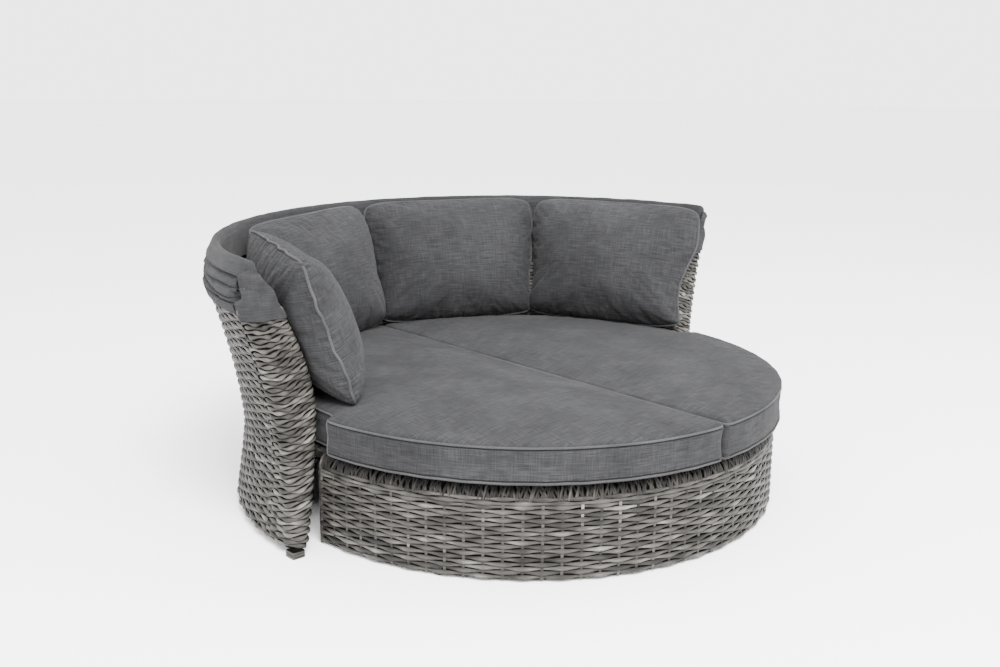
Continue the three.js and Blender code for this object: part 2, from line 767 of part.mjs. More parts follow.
function pillow( i, lift ) {

	const degrees = 180 - pillowSector * ( i + 0.5 );
	const turned = degrees + PILLOW_TURNS[ i ];
	const tilt = radians( PILLOW_LEANS[ i ] );
	const slide = PILLOW_WIDTH * PILLOW_SLIDE_SHARES[ i ];
	const corner = innerFace( mattressHigh ) * facetDepth - PILLOW_CORNER_GAP;
	const base = corner * Math.cos( radians( pillowSector / 2 ) ) - PILLOW_WIDTH * PILLOW_INSET_SHARES[ i ];
	const open = ( i === 0 ) - ( i === PILLOW_COUNT - 1 );
	const centre = new THREE.Vector3( ...around( base, degrees, mattressHigh + lift ) );
	const along = new THREE.Vector3( ...around( 1, degrees + 90, 0 ) );
	const out = new THREE.Vector3( ...around( 1, turned, 0 ) );
	const across = new THREE.Vector3( ...around( 1, turned + 90, 0 ) );
	const upward = out.clone().multiplyScalar( Math.sin( tilt ) ).setZ( Math.cos( tilt ) );
	const facing = new THREE.Vector3().crossVectors( upward, across );
	const middle = centre.addScaledVector( along, slide ).addScaledVector( upward, PILLOW_HEIGHT / 2 );
	const half = PILLOW_EDGE / 2;
	const fullAt = ( share ) => 1 - Math.abs( share ) ** PILLOW_FULLNESS;
	const place = ( u, v, face ) => {

		const full = Math.sqrt( fullAt( u ) * fullAt( v ) );
		const drawV = v > 0 ? PILLOW_DRAW * ( 1 - u * u ) * v * v : 0;
		const droop = v > 0 ? PILLOW_CORNER_DROOP * u * u * v * v : 0;
		const spine = middle.clone().addScaledVector( upward, v * PILLOW_HEIGHT / 2 - drawV - droop );
		const bulge = face > 0 ? PILLOW_FRONT * full * ( 1 - PILLOW_SAG_SHARE * v ) : - PILLOW_BACK * full;
		const reach = PILLOW_WIDTH / 2 - PILLOW_DRAW * ( 1 - v * v );
		const ahead = spine.clone().addScaledVector( facing, Math.max( bulge, 0 ) + half );
		const shift = Math.sign( u ) * slide;
		const closed = u * open > 0 ? PILLOW_WIDTH : roomBeside( ahead, degrees );
		const width = Math.min( reach, closed - shift, roomInShell( spine, degrees ) - shift );
		const point = spine.addScaledVector( across, u * width );
		const depth = face > 0 ? bulge + half
			: - Math.max( Math.min( half - bulge, roomBehind( point, out, tilt ) ), half );
		return point.addScaledVector( facing, depth );

	};
	const spaced = ( i, count ) => Math.sin( ( i / count - 0.5 ) * Math.PI );
	const positions = [];
	const triangles = [];
	const stride = PILLOW_COLUMNS + 1;
	for ( const face of [ - 1, 1 ] ) {

		for ( let row = 0; row <= PILLOW_ROWS; row ++ ) {

			for ( let column = 0; column <= PILLOW_COLUMNS; column ++ ) {

				const at = place( spaced( column, PILLOW_COLUMNS ), spaced( row, PILLOW_ROWS ), face );
				positions.push( ...at.toArray() );

			}

		}

	}

	const sheet = stride * ( PILLOW_ROWS + 1 );
	for ( let row = 0; row < PILLOW_ROWS; row ++ ) {

		for ( let column = 0; column < PILLOW_COLUMNS; column ++ ) {

			const a = row * stride + column;
			const [ b, c, d ] = [ a + 1, a + stride, a + stride + 1 ];
			triangles.push( a, c, b, b, c, d );
			triangles.push( a + sheet, b + sheet, c + sheet, b + sheet, d + sheet, c + sheet );

		}

	}

	const edge = [];
	for ( let column = 0; column < PILLOW_COLUMNS; column ++ ) edge.push( column );
	for ( let row = 0; row < PILLOW_ROWS; row ++ ) edge.push( row * stride + PILLOW_COLUMNS );
	for ( let column = PILLOW_COLUMNS; column > 0; column -- ) edge.push( PILLOW_ROWS * stride + column );
	for ( let row = PILLOW_ROWS; row > 0; row -- ) edge.push( row * stride );
	edge.forEach( ( a, i ) => {

		const b = edge[ ( i + 1 ) % edge.length ];
		triangles.push( a, b, a + sheet, b, b + sheet, a + sheet );

	} );
	const geometry = new THREE.BufferGeometry();
	geometry.setAttribute( 'position', new THREE.BufferAttribute( new Float32Array( positions ), 3 ) );
	geometry.setIndex( triangles );
	return solid( geometry );

}

// Each pillow is let down until it all but touches the mattress
for ( let i = 0; i < PILLOW_COUNT; i ++ ) {

	let lift = PILLOW_START_LIFT;
	for ( let pass = 0; pass < ROOM_PASSES; pass ++ ) {

		const body = pillow( i, lift );
		lift += SEAT_GAP - Math.min( ...mattressHalves.map( ( half ) => body.minGap( half, PILLOW_WIDTH ) ) );

	}

	add( `pillow_${ i + 1 }`, pillow( i, lift ), 'cushion' );

}

// Canopy hoops: half-round tubes with a flat lug welded to each end, all on one pivot bolt a side

function roundOutline( radius, middleRadius, middleZ, sides = HOOP_SIDES ) {

	return Array.from( { length: sides }, ( _, i ) => {

		const turn = 2 * Math.PI * ( i + 0.5 ) / sides;
		return [ middleRadius + radius * Math.cos( turn ), middleZ + radius * Math.sin( turn ) ];

	} );

}

const hoopNames = Object.keys( HOOP_RISE );
const perHoop = ( value ) => Object.fromEntries( hoopNames.map( ( name ) => [ name, value( name ) ] ) );
const hoopRadius = perHoop( ( name ) => shellTop - HOOP_INSET[ name ] );
const hoopZ = perHoop( ( name ) => SHELL_HEIGHT + HOOP_RISE[ name ] );
const hoopStart = perHoop( ( name ) => endRimY + HOOP_START[ name ] );

function lugInner( name ) {

	const side = ( hoopRadius[ name ] + HOOP_TUBE * Math.cos( Math.PI / HOOP_SIDES ) ) * facetDepth;
	return onFace( side, hoopStart[ name ] ) - LUG_WELD;

}

function lug( name, side ) {

	const low = lugInner( name );
	const high = low + LUG_THICKNESS;
	const [ padY, padZ ] = [ hoopStart[ name ], hoopZ[ name ] ];
	const padHalf = LUG_PAD_HEIGHT / 2;
	const pad = block( [ low, padY, padZ - padHalf ], [ high, padY + LUG_PAD_LENGTH, padZ + padHalf ] );
	const eye = crossBar( LUG_EYE, low, high, pivotY, pivotZ );
	const [ endY, endZ ] = [ padY + padHalf, padZ ];
	const length = Math.hypot( endY - pivotY, endZ - pivotZ );
	const geometry = new THREE.BoxGeometry( LUG_THICKNESS, length, LUG_ARM );
	geometry.rotateX( Math.atan2( endZ - pivotZ, endY - pivotY ) );
	geometry.translate( ( low + high ) / 2, ( endY + pivotY ) / 2, ( endZ + pivotZ ) / 2 );
	const hole = crossBar( BOLT_RADIUS + BOLT_CLEARANCE, low - OVERRUN, high + OVERRUN, pivotY, pivotZ );
	const body = pad.add( eye ).add( solid( geometry ) ).subtract( hole );
	return side < 0 ? body.mirror( [ 1, 0, 0 ] ) : body;

}

for ( const name of hoopNames ) {

	const ring = turned( roundOutline( HOOP_TUBE, hoopRadius[ name ], hoopZ[ name ] ) );
	const tube = behind( ring, hoopStart[ name ] );
	const hoop = Object.values( SIDES ).reduce( ( body, side ) => body.add( lug( name, side ) ), tube );
	add( `hoop_${ name }`, hoop, 'hoop' );

}

// Pivot brackets on the rim, and the bolts that carry the lugs

const earHigh = lugInner( 'front' ) - SEAT_GAP;
const earLow = earHigh - BRACKET_PLATE;
const boltEnd = lugInner( 'rear' ) + LUG_THICKNESS + SEAT_GAP;
for ( const [ name, side ] of Object.entries( SIDES ) ) {

	const bottom = SHELL_HEIGHT + SEAT_GAP;
	const base = block(
		[ earHigh - BRACKET_WIDTH, pivotY - BRACKET_LENGTH / 2, bottom ],
		[ earHigh, pivotY + BRACKET_LENGTH / 2, bottom + BRACKET_PLATE ],
	);
	const ear = block( [ earLow, pivotY - BRACKET_EAR, bottom ], [ earHigh, pivotY + BRACKET_EAR, pivotZ ] );
	const head = crossBar( BRACKET_EAR, earLow, earHigh, pivotY, pivotZ );
	const hole = crossBar( BOLT_RADIUS + BOLT_CLEARANCE, earLow - OVERRUN, earHigh + OVERRUN, pivotY, pivotZ );
	const bracket = base.add( ear ).add( head ).subtract( hole );
	const boltStart = earLow - SEAT_GAP - BOLT_HEAD;
	const shank = crossBar( BOLT_RADIUS, boltStart + BOLT_HEAD / 2, boltEnd + BOLT_HEAD / 2, pivotY, pivotZ );
	const inner = crossBar( BOLT_HEAD_RADIUS, boltStart, boltStart + BOLT_HEAD, pivotY, pivotZ, HEX_SIDES );
	const outer = crossBar( BOLT_HEAD_RADIUS, boltEnd, boltEnd + BOLT_HEAD, pivotY, pivotZ, HEX_SIDES );
	const bolt = shank.add( inner ).add( outer );
	const placed = ( body ) => ( side < 0 ? body.mirror( [ 1, 0, 0 ] ) : body );
	add( `pivot_bracket_${ name }`, placed( bracket ), 'frame' );
	add( `pivot_bolt_${ name }`, placed( bolt ), 'fastener' );

}

// Cloth: the front tube's hem sleeve, and the folded panels between the rim and the hoops

function clothRing( path ) {

	const back = path.map( ( [ radius, z ] ) => [ radius + CLOTH, z ] ).reverse();
	return turned( [ ...path, ...back ] );

}

function foldPath( low, high, inner, outer, folds ) {

	const points = [];
	for ( let i = 0; i <= 2 * folds; i ++ ) {

		points.push( [ i % 2 ? outer : inner, low + ( high - low ) * i / ( 2 * folds ) ] );

	}

	return points;

}

const clothStart = Math.max( ...Object.values( hoopStart ) ) + LUG_PAD_LENGTH + SEAT_GAP;
const foldOuter = hoopRadius.rear + HOOP_TUBE + FOLD_OUT;
const foldInner = hoopRadius.rear + HOOP_TUBE + SEAT_GAP;
const panelSpans = {
	rear: [ SHELL_HEIGHT + SEAT_GAP, hoopZ.rear - SEAT_GAP ],
	mid: [ hoopZ.rear, hoopZ.mid - SEAT_GAP ],
	front: [ hoopZ.mid, hoopZ.front - SEAT_GAP ],
};
for ( const [ name, [ low, high ] ] of Object.entries( panelSpans ) ) {

	const folds = clothRing( foldPath( low, high, foldInner, foldOuter, PANEL_FOLDS ) );
	add( `canopy_panel_${ name }`, behind( folds, clothStart ), 'canopy' );

}

function sleeve() {

	const [ radius, z ] = [ hoopRadius.front, hoopZ.front ];
	const outer = HOOP_TUBE + SEAT_GAP + SLEEVE_WALL;
	const seam = radius - outer;
	const outline = [
		[ seam, z ], [ radius - outer / 2, z + outer ], [ radius + outer / 2, z + outer ], [ radius + outer, z ],
		[ radius + outer / 2, z - outer ], [ seam + CLOTH, z - outer ],
		[ seam + CLOTH, z - SLEEVE_DROP ], [ seam, z - SLEEVE_DROP ],
	];
	const bore = roundOutline( ( HOOP_TUBE + SEAT_GAP ) / facetDepth, radius, z );
	const start = hoopStart.front + LUG_PAD_LENGTH + SEAT_GAP;
	const tube = behind( turned( outline ).subtract( turned( bore ) ), start );
	return Object.values( SIDES ).reduce( ( body, side ) => body.add( pouch( side, start, outer ) ), tube );

}

// Where the sleeve ends, a small pouch covers the welded lug, open below for the arm
function pouch( side, back, outer ) {

	const lugOuter = lugInner( 'front' ) + LUG_THICKNESS + SEAT_GAP;
	const radius = onFace( hoopRadius.front, back );
	const low = [ radius - outer - CLOTH, pivotY - POUCH_FRONT, hoopZ.front - POUCH_DROP ];
	const high = [ lugOuter + CLOTH, back + CLOTH, hoopZ.front + outer ];
	const hollowLow = [ low[ 0 ] + CLOTH, low[ 1 ] + CLOTH, low[ 2 ] - OVERRUN ];
	const hollowHigh = [ lugOuter, back + OVERRUN, hoopZ.front + outer - CLOTH ];
	const body = block( low, high ).subtract( block( hollowLow, hollowHigh ) );
	return side < 0 ? body.mirror( [ 1, 0, 0 ] ) : body;

}

add( 'canopy_sleeve', sleeve(), 'canopy' );

// Cloth caps drawn over the shell's front top corners, open above for the hoops' arms

function cornerCap( side ) {

	const capLow = SHELL_HEIGHT - CAP_SKIRT;
	const heights = [ capLow, rimLow, SHELL_HEIGHT ];
	const slanted = ( section, extra ) => section.map( ( [ x, y, z ] ) => {

		const share = ( side * x - innerFace( z ) ) / ( outerFace( z ) - innerFace( z ) );
		return [ x, y, z + CAP_INNER_RISE + ( CAP_OUTER_RISE - CAP_INNER_RISE ) * share + extra ];

	} );
	const wall = ( grow, low, extra, back ) => lofted( [
		...( low < capLow ? [ endSection( capLow, side, grow, back ).map( ( [ x, y ] ) => [ x, y, low ] ) ] : [] ),
		...heights.map( ( z ) => endSection( z, side, grow, back ) ),
		slanted( endSection( SHELL_HEIGHT, side, grow, back ), extra ),
	] );
	const hollow = wall( CLOTH_GAP, capLow - OVERRUN, OVERRUN, endBackY + OVERRUN );
	return wall( CLOTH + CLOTH_GAP, capLow, 0 ).subtract( hollow );

}

for ( const [ name, side ] of Object.entries( SIDES ) ) {

	add( `corner_cap_${ name }`, cornerCap( side ), 'canopy' );

}

export default daybed;
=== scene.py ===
import bpy
import bmesh
import json
import math
import numpy as np
from mathutils import Matrix, Vector, noise
from mathutils.bvhtree import BVHTree
from mathutils.kdtree import KDTree


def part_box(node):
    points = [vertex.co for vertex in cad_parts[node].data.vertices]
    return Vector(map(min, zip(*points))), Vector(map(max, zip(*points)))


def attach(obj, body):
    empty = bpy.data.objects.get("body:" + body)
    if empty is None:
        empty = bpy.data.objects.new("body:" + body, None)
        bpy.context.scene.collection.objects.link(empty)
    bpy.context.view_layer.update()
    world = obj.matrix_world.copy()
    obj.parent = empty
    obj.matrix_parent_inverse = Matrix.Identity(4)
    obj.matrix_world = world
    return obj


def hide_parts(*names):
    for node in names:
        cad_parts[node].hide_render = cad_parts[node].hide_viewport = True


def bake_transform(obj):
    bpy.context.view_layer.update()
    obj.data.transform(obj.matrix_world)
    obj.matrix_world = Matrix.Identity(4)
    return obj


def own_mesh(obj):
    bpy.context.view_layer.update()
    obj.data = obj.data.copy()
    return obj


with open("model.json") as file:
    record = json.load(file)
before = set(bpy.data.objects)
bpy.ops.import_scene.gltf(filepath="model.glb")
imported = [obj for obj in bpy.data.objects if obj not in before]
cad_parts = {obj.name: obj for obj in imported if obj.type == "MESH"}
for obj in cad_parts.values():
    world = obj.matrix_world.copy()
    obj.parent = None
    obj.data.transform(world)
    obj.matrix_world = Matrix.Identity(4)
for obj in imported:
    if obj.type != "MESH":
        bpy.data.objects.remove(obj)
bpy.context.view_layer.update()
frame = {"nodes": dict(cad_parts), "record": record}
nodes = frame["nodes"]

# Camera: a normal lens at eye height of someone who sits, a little to the left of the opening and
# rolled by half a degree, as in the photograph. Lengths are metres and angles degrees.

LENS = 43.2
SENSOR = 36.0
CAMERA_AZIMUTH = -42.26
CAMERA_ELEVATION = 13.29
CAMERA_ROLL = 0.53
CAMERA_DISTANCE = 3.778
TARGET_RIGHT = -0.0756
TARGET_HEIGHT = 0.4837


def add_camera():
    azimuth, elevation = math.radians(CAMERA_AZIMUTH), math.radians(CAMERA_ELEVATION)
    roll = math.radians(CAMERA_ROLL)
    right = Vector((math.cos(azimuth), math.sin(azimuth), 0))
    level = Vector((-math.sin(azimuth), math.cos(azimuth), 0))
    forward = level * math.cos(elevation) - Vector((0, 0, math.sin(elevation)))
    upright = right.cross(forward)
    across = right * math.cos(roll) + upright * math.sin(roll)
    upward = upright * math.cos(roll) - right * math.sin(roll)
    target = right * TARGET_RIGHT + Vector((0, 0, TARGET_HEIGHT))
    data = bpy.data.cameras.new("camera")
    data.lens = LENS
    data.sensor_width = SENSOR
    data.clip_end = 100
    camera = bpy.data.objects.new("camera", data)
    turn = Matrix((across, upward, -forward)).transposed().to_4x4()
    camera.matrix_world = Matrix.Translation(target - forward * CAMERA_DISTANCE) @ turn
    bpy.context.scene.collection.objects.link(camera)
    bpy.context.scene.camera = camera


add_camera()

# Studio: a plain pale floor in a bright, even room, one large soft light high on the left in
# front and a weaker one on the right.

FLOOR_RADIUS = 30.0
FLOOR_COLOUR = (0.95, 0.95, 0.95, 1)
ROOM_COLOUR = (1.0, 1.0, 1.0, 1)
ROOM_STRENGTH = 3.7
LIGHTS = {
    "key_light": {"place": (-1.9, -3.4, 5.0), "size": 2.6, "power": 1450},
    "fill_light": {"place": (4.2, -1.8, 3.4), "size": 3.0, "power": 110},
}
LIGHT_TARGET = Vector((0, 0.1, 0.4))


def new_material(name):
    material = bpy.data.materials.new(name)
    material.use_nodes = True
    tree = material.node_tree
    shader = next(n for n in tree.nodes if n.type == "BSDF_PRINCIPLED")
    return material, tree, shader


def ramp(tree, source, stops):
    """A colour ramp fed by source, with (place, colour) stops."""
    node = tree.nodes.new("ShaderNodeValToRGB")
    elements = node.color_ramp.elements
    while len(elements) < len(stops):
        elements.new(0.5)
    for element, (place, colour) in zip(elements, stops):
        element.position = place
        element.color = (*colour, 1)
    tree.links.new(source, node.inputs["Fac"])
    return node.outputs["Color"]


def noise_texture(tree, vector, scale, detail=2.0, roughness=0.5):
    node = tree.nodes.new("ShaderNodeTexNoise")
    node.inputs["Scale"].default_value = scale
    node.inputs["Detail"].default_value = detail
    node.inputs["Roughness"].default_value = roughness
    tree.links.new(vector, node.inputs["Vector"])
    return node.outputs["Fac"]


def combine(tree, operation, a, b):
    """A Math node of two inputs, each a socket or a number."""
    node = tree.nodes.new("ShaderNodeMath")
    node.operation = operation
    for socket, value in zip(node.inputs, (a, b)):
        if isinstance(value, (int, float)):
            socket.default_value = value
        else:
            tree.links.new(value, socket)
    return node.outputs["Value"]


def weighed(tree, first, first_share, second, second_share):
    """The sum of two sockets, each times its share."""
    return combine(tree, "ADD", combine(tree, "MULTIPLY", first, first_share),
                   combine(tree, "MULTIPLY", second, second_share))


def bump(tree, shader, height, strength, distance):
    node = tree.nodes.new("ShaderNodeBump")
    node.inputs["Strength"].default_value = strength
    node.inputs["Distance"].default_value = distance
    tree.links.new(height, node.inputs["Height"])
    tree.links.new(node.outputs["Normal"], shader.inputs["Normal"])


def object_place(tree):
    return tree.nodes.new("ShaderNodeTexCoord").outputs["Object"]


def scaled(tree, vector, scale):
    node = tree.nodes.new("ShaderNodeMapping")
    node.inputs["Scale"].default_value = scale
    tree.links.new(vector, node.inputs["Vector"])
    return node.outputs["Vector"]


def floor_material():
    material, tree, shader = new_material("floor")
    tone = noise_texture(tree, object_place(tree), 1.5, 3)
    low = tuple(value * 0.985 for value in FLOOR_COLOUR[:3])
    tree.links.new(ramp(tree, tone, [(0.3, low), (0.7, FLOOR_COLOUR[:3])]), shader.inputs["Base Color"])
    shader.inputs["Roughness"].default_value = 0.7
    shader.inputs["Specular IOR Level"].default_value = 0.2
    return material


def add_studio():
    mesh = bpy.data.meshes.new("floor")
    shape = bmesh.new()
    bmesh.ops.create_circle(shape, cap_ends=True, segments=96, radius=FLOOR_RADIUS)
    shape.to_mesh(mesh)
    shape.free()
    floor = bpy.data.objects.new("floor", mesh)
    floor.data.materials.append(floor_material())
    bpy.context.scene.collection.objects.link(floor)
    world = bpy.data.worlds.new("room")
    world.use_nodes = True
    background = world.node_tree.nodes["Background"]
    background.inputs["Color"].default_value = ROOM_COLOUR
    background.inputs["Strength"].default_value = ROOM_STRENGTH
    bpy.context.scene.world = world
    for name, facts in LIGHTS.items():
        data = bpy.data.lights.new(name, "AREA")
        data.size = facts["size"]
        data.energy = facts["power"]
        light = bpy.data.objects.new(name, data)
        light.location = facts["place"]
        light.rotation_euler = (LIGHT_TARGET - light.location).to_track_quat("-Z", "Y").to_euler()
        bpy.context.scene.collection.objects.link(light)


add_studio()

# Woven shell: flat half-round strands of grey and grey-brown synthetic weave that pass over and
# under thin upright stakes. Every strand is drawn, and a sheet behind them closes the gaps, near
# black as painted shade.

SEAT_RADIUS = 0.800
SHELL_HEIGHT = 0.690
SHELL_FLOOR_GAP = 0.020
RIM_LOW = 0.660
END_BACK = 0.096                # where the shell's ends meet its faces
STRAND_PITCH = 0.0122
STAKE_PITCH = 0.052
STRAND_STEP = 0.0087
WAVE = 0.0030                   # how far a strand moves out over a stake and in behind it
BULGE = 0.0022                  # height of a strand's round back
NARROW_SHARE = 0.37             # half its width where it dives between two stakes, in pitches
SWELL_SHARE = 0.22              # and how much more it has over a stake
STAKE_WIDTH = 0.0080
STAKE_BULGE = 0.0016
WEAVE_MARGIN = 0.001            # by which a weave stops short of its solid's edges
KNOT_SPREAD = 0.07              # how much the waves, the rows and the strands' backs vary
ROW_SPREAD = 0.035
BULGE_SPREAD = 0.1
MAP_HALF = 0.45                 # half a strand's width in its own map
FACE_SINK = 0.0040              # from the solid's face to the middle of the weave
GROUND_SINK = 0.0030            # from there to the sheet behind, near black as painted shade
FACE_ROWS = 24                  # rows of points up a face, of its stakes and its ground
GROUND_COLUMNS = 96
STRAND_SECTION = ((-1.0, 0.0), (-0.6, 0.78), (0.0, 1.0), (0.6, 0.78), (1.0, 0.0))
THIN_SECTION = ((-1.0, 0.0), (0.0, 1.0), (1.0, 0.0))
WEAVE_TONES = [
    (0.00, (0.0026, 0.0024, 0.0022)),
    (0.22, (0.0074, 0.0068, 0.0061)),
    (0.45, (0.0205, 0.0188, 0.0168)),
    (0.70, (0.0520, 0.0485, 0.0440)),
    (1.00, (0.1800, 0.1720, 0.1590)),
]


def own_map(tree):
    """A piece's own map, whole and split into its u and v."""
    place = tree.nodes.new("ShaderNodeUVMap")
    place.uv_map = "strand"
    split = tree.nodes.new("ShaderNodeSeparateXYZ")
    tree.links.new(place.outputs["UV"], split.inputs["Vector"])
    return place.outputs["UV"], split.outputs["X"], split.outputs["Y"]


def joined(tree, x, y):
    join = tree.nodes.new("ShaderNodeCombineXYZ")
    tree.links.new(x, join.inputs["X"])
    tree.links.new(y, join.inputs["Y"])
    return join.outputs["Vector"]


def weave_material(name, lift=0.0):
    """Strands by their own map: u runs along a strand in metres, v counts strands.

    Long patches and fine streaks run along each strand and every strand has its own tone; as painted
    shade, its edges are darker than its back. lift makes the whole weave lighter."""
    material, tree, shader = new_material(name)
    _, u, v = own_map(tree)
    row = combine(tree, "FLOOR", v, 0.0)
    patch_place = joined(tree, combine(tree, "MULTIPLY", u, 9.0), combine(tree, "MULTIPLY", row, 5.37))
    patches = noise_texture(tree, patch_place, 1.0, 2.0, 0.6)
    streak_place = joined(tree, combine(tree, "MULTIPLY", u, 45.0), combine(tree, "MULTIPLY", v, 7.0))
    streaks = noise_texture(tree, streak_place, 1.0, 3.0, 0.7)
    dice = tree.nodes.new("ShaderNodeTexWhiteNoise")
    dice.noise_dimensions = "1D"
    tree.links.new(row, dice.inputs["W"])
    tone = weighed(tree, patches, 1.30, dice.outputs["Value"], 0.22)
    tone = combine(tree, "ADD", tone, combine(tree, "MULTIPLY", streaks, 0.55))
    # Painted shade: each strand darkens towards its edges, where it turns away and its neighbours shade
    # it.
    across = combine(tree, "SUBTRACT", combine(tree, "FRACT", v, 0.0), 0.45)
    across = combine(tree, "ABSOLUTE", across, 0.0)
    edge = combine(tree, "POWER", combine(tree, "MULTIPLY", across, 2.0), 2.5)
    tone = combine(tree, "SUBTRACT", tone, combine(tree, "MULTIPLY", edge, 0.34))
    tone = combine(tree, "SUBTRACT", tone, 0.47 - lift)
    tree.links.new(ramp(tree, tone, WEAVE_TONES), shader.inputs["Base Color"])
    rough = combine(tree, "ADD", combine(tree, "MULTIPLY", streaks, 0.25), 0.42)
    tree.links.new(rough, shader.inputs["Roughness"])
    shader.inputs["Specular IOR Level"].default_value = 0.12
    bump(tree, shader, streaks, 0.35, 0.0008)
    return material


def gap_shade_material():
    """The sheet behind the strands, coloured near black as painted shade in their gaps."""
    material, tree, shader = new_material("weave_gap_shade")
    tone = noise_texture(tree, scaled(tree, object_place(tree), (1, 1, 3)), 60, 2)
    colour = ramp(tree, tone, [(0.3, (0.002, 0.002, 0.0015)), (0.7, (0.006, 0.005, 0.0045))])
    tree.links.new(colour, shader.inputs["Base Color"])
    shader.inputs["Roughness"].default_value = 0.9
    shader.inputs["Specular IOR Level"].default_value = 0.0
    bump(tree, shader, tone, 0.4, 0.001)
    return material


weave = weave_material("weave")
# A lighter copy of the weave for the shell's ends: painted light.
lit_weave = weave_material("weave_painted_light", 0.04)
# A darker copy for the apron's crossing strands: painted shade under the mattress's overhang.
shade_weave = weave_material("weave_painted_shade", -0.22)
# The sheet behind the strands: near black, painted shade in the gaps of the weave.
weave_gap_shade = gap_shade_material()


def grid_faces(rows, columns):
    """Corner numbers of the quads of a grid of rows x columns points."""
    row, column = np.meshgrid(np.arange(rows - 1), np.arange(columns - 1), indexing="ij")
    corner = row * columns + column
    return np.stack([corner, corner + 1, corner + columns + 1, corner + columns], -1).reshape(-1, 4)


class Sheet:
    """Points, quads, map and material numbers that are gathered for one mesh."""

    def __init__(self):
        self.points, self.faces, self.maps, self.kinds = [], [], [], []
        self.count = 0

    def add(self, points, maps, kind=0, flip=False):
        """points and maps end in (rows, columns, 3 or 2); each grid before that is its own."""
        rows, columns = points.shape[-3:-1]
        grids = points.reshape(-1, rows, columns, 3)
        faces = grid_faces(rows, columns)
        if flip:
            faces = faces[:, ::-1]
        for i in range(len(grids)):
            self.faces.append(faces + self.count + i * rows * columns)
        self.kinds.append(np.full(len(grids) * len(faces), kind))
        self.points.append(grids.reshape(-1, 3))
        self.maps.append(np.broadcast_to(maps, (*points.shape[:-1], 2)).reshape(-1, 2))
        self.count += grids.shape[0] * rows * columns

    def build(self, name, materials):
        points, faces = np.concatenate(self.points), np.concatenate(self.faces)
        mesh = bpy.data.meshes.new(name)
        mesh.from_pydata(points.tolist(), [], faces.tolist())
        layer = mesh.uv_layers.new(name="strand")
        layer.data.foreach_set("uv", np.concatenate(self.maps)[faces.ravel()].ravel())
        mesh.polygons.foreach_set("material_index", np.concatenate(self.kinds).astype(np.int32))
        mesh.polygons.foreach_set("use_smooth", np.full(len(faces), True))
        for material in materials:
            mesh.materials.append(material)
        mesh.update()
        piece = bpy.data.objects.new(name, mesh)
        bpy.context.scene.collection.objects.link(piece)
        return piece


def section_parts(section):
    """The sides and the backs of a strand's section, ready to spread over strands and steps."""
    return (np.array(values)[None, None, :] for values in zip(*section))


def spread(u, v):
    """The two parts of a map, spread over the same grid."""
    return np.stack(np.broadcast_arrays(u, v), -1)


def strands(sheet, place, length, low, high, seed, pitch=STRAND_PITCH, wave=WAVE,
            section=STRAND_SECTION, bulge=BULGE, flip=False):
    """Strands that run along s from 0 to length, one for each pitch of t from low to high.

    place turns (s, t, lift) into points. A strand is out over every other stake and in behind
    the next, and its neighbours pass the other way."""
    dice = np.random.default_rng(seed)
    rows = max(2, round((high - low) / pitch))
    columns = max(3, round(length / STRAND_STEP)) + 1
    pitch = (high - low) / rows
    s = np.linspace(0, length, columns)[None, :, None]
    row = np.arange(rows)[:, None, None]
    side, back = section_parts(section)
    over = np.cos(np.pi * (s / STAKE_PITCH + row))
    half = pitch * (NARROW_SHARE + SWELL_SHARE * np.clip(over, 0, 1))
    stake_count = int(length / STAKE_PITCH) + 2
    knots = dice.normal(0, KNOT_SPREAD, (rows, stake_count))
    behind = (s[0, :, 0] / STAKE_PITCH).astype(int)
    knot = knots[np.arange(rows)[:, None], behind[None, :]][:, :, None]
    t = low + (row + 0.5) * pitch + dice.normal(0, ROW_SPREAD, (rows, 1, 1)) * pitch
    t = t + side * half + np.sin(s * 31 + row * 2.1) * pitch * 0.05
    lift = wave * over * (1 + knot) + back * bulge * (1 + dice.normal(0, BULGE_SPREAD, (rows, 1, 1)))
    t, s, lift = np.broadcast_arrays(np.clip(t, low, high), s, lift)
    sheet.add(place(s, t, lift), spread(s + seed, row + 0.5 + side * MAP_HALF), 0, flip)


def stakes(sheet, place, length, low, high, flip=False):
    """Thin upright stakes in the middle of the weave."""
    middles = np.arange(0, length + 0.001, STAKE_PITCH)[:, None, None]
    side, back = section_parts(THIN_SECTION)
    t = np.linspace(low, high, FACE_ROWS)[None, :, None]
    s, t, lift = np.broadcast_arrays(middles + side * STAKE_WIDTH / 2, t, back * STAKE_BULGE + 0 * t)
    sheet.add(place(s, t, lift), spread(t, middles / STAKE_PITCH + 0.5), 0, not flip)


def ground(sheet, place, length, low, high, rows=FACE_ROWS, flip=False):
    """The sheet behind the strands, which takes the near-black painted shade of the gaps."""
    s, t = np.meshgrid(np.linspace(0, length, GROUND_COLUMNS), np.linspace(low, high, rows))
    sheet.add(place(s, t, np.full(s.shape, -GROUND_SINK)), spread(s, t), 1, flip)


def flare(z, waist, foot, top, waist_height, foot_power, top_power):
    """A face of the shell: narrowest at its waist, it flares to the floor and to the rim."""
    below = np.clip((waist_height - z) / waist_height, 0, 1) ** foot_power
    above = np.clip((z - waist_height) / (SHELL_HEIGHT - waist_height), 0, 1) ** top_power
    return waist + (foot - waist) * below + (top - waist) * above


def outer_face(z):
    return flare(z, waist=SEAT_RADIUS + 0.071, foot=SEAT_RADIUS + 0.105, top=SEAT_RADIUS + 0.166,
                 waist_height=0.250, foot_power=1.22, top_power=1.55)


def inner_face(z):
    return flare(z, waist=SEAT_RADIUS - 0.041, foot=SEAT_RADIUS + 0.052, top=SEAT_RADIUS + 0.057,
                 waist_height=0.390, foot_power=1.45, top_power=1.7)


def end_face(z):
    return flare(z, waist=0.022, foot=-0.056, top=0.044, waist_height=0.400, foot_power=1.3, top_power=1.0)


def around(radius, angle, z):
    return np.stack([radius * np.cos(angle), radius * np.sin(angle), z + 0 * angle], -1)


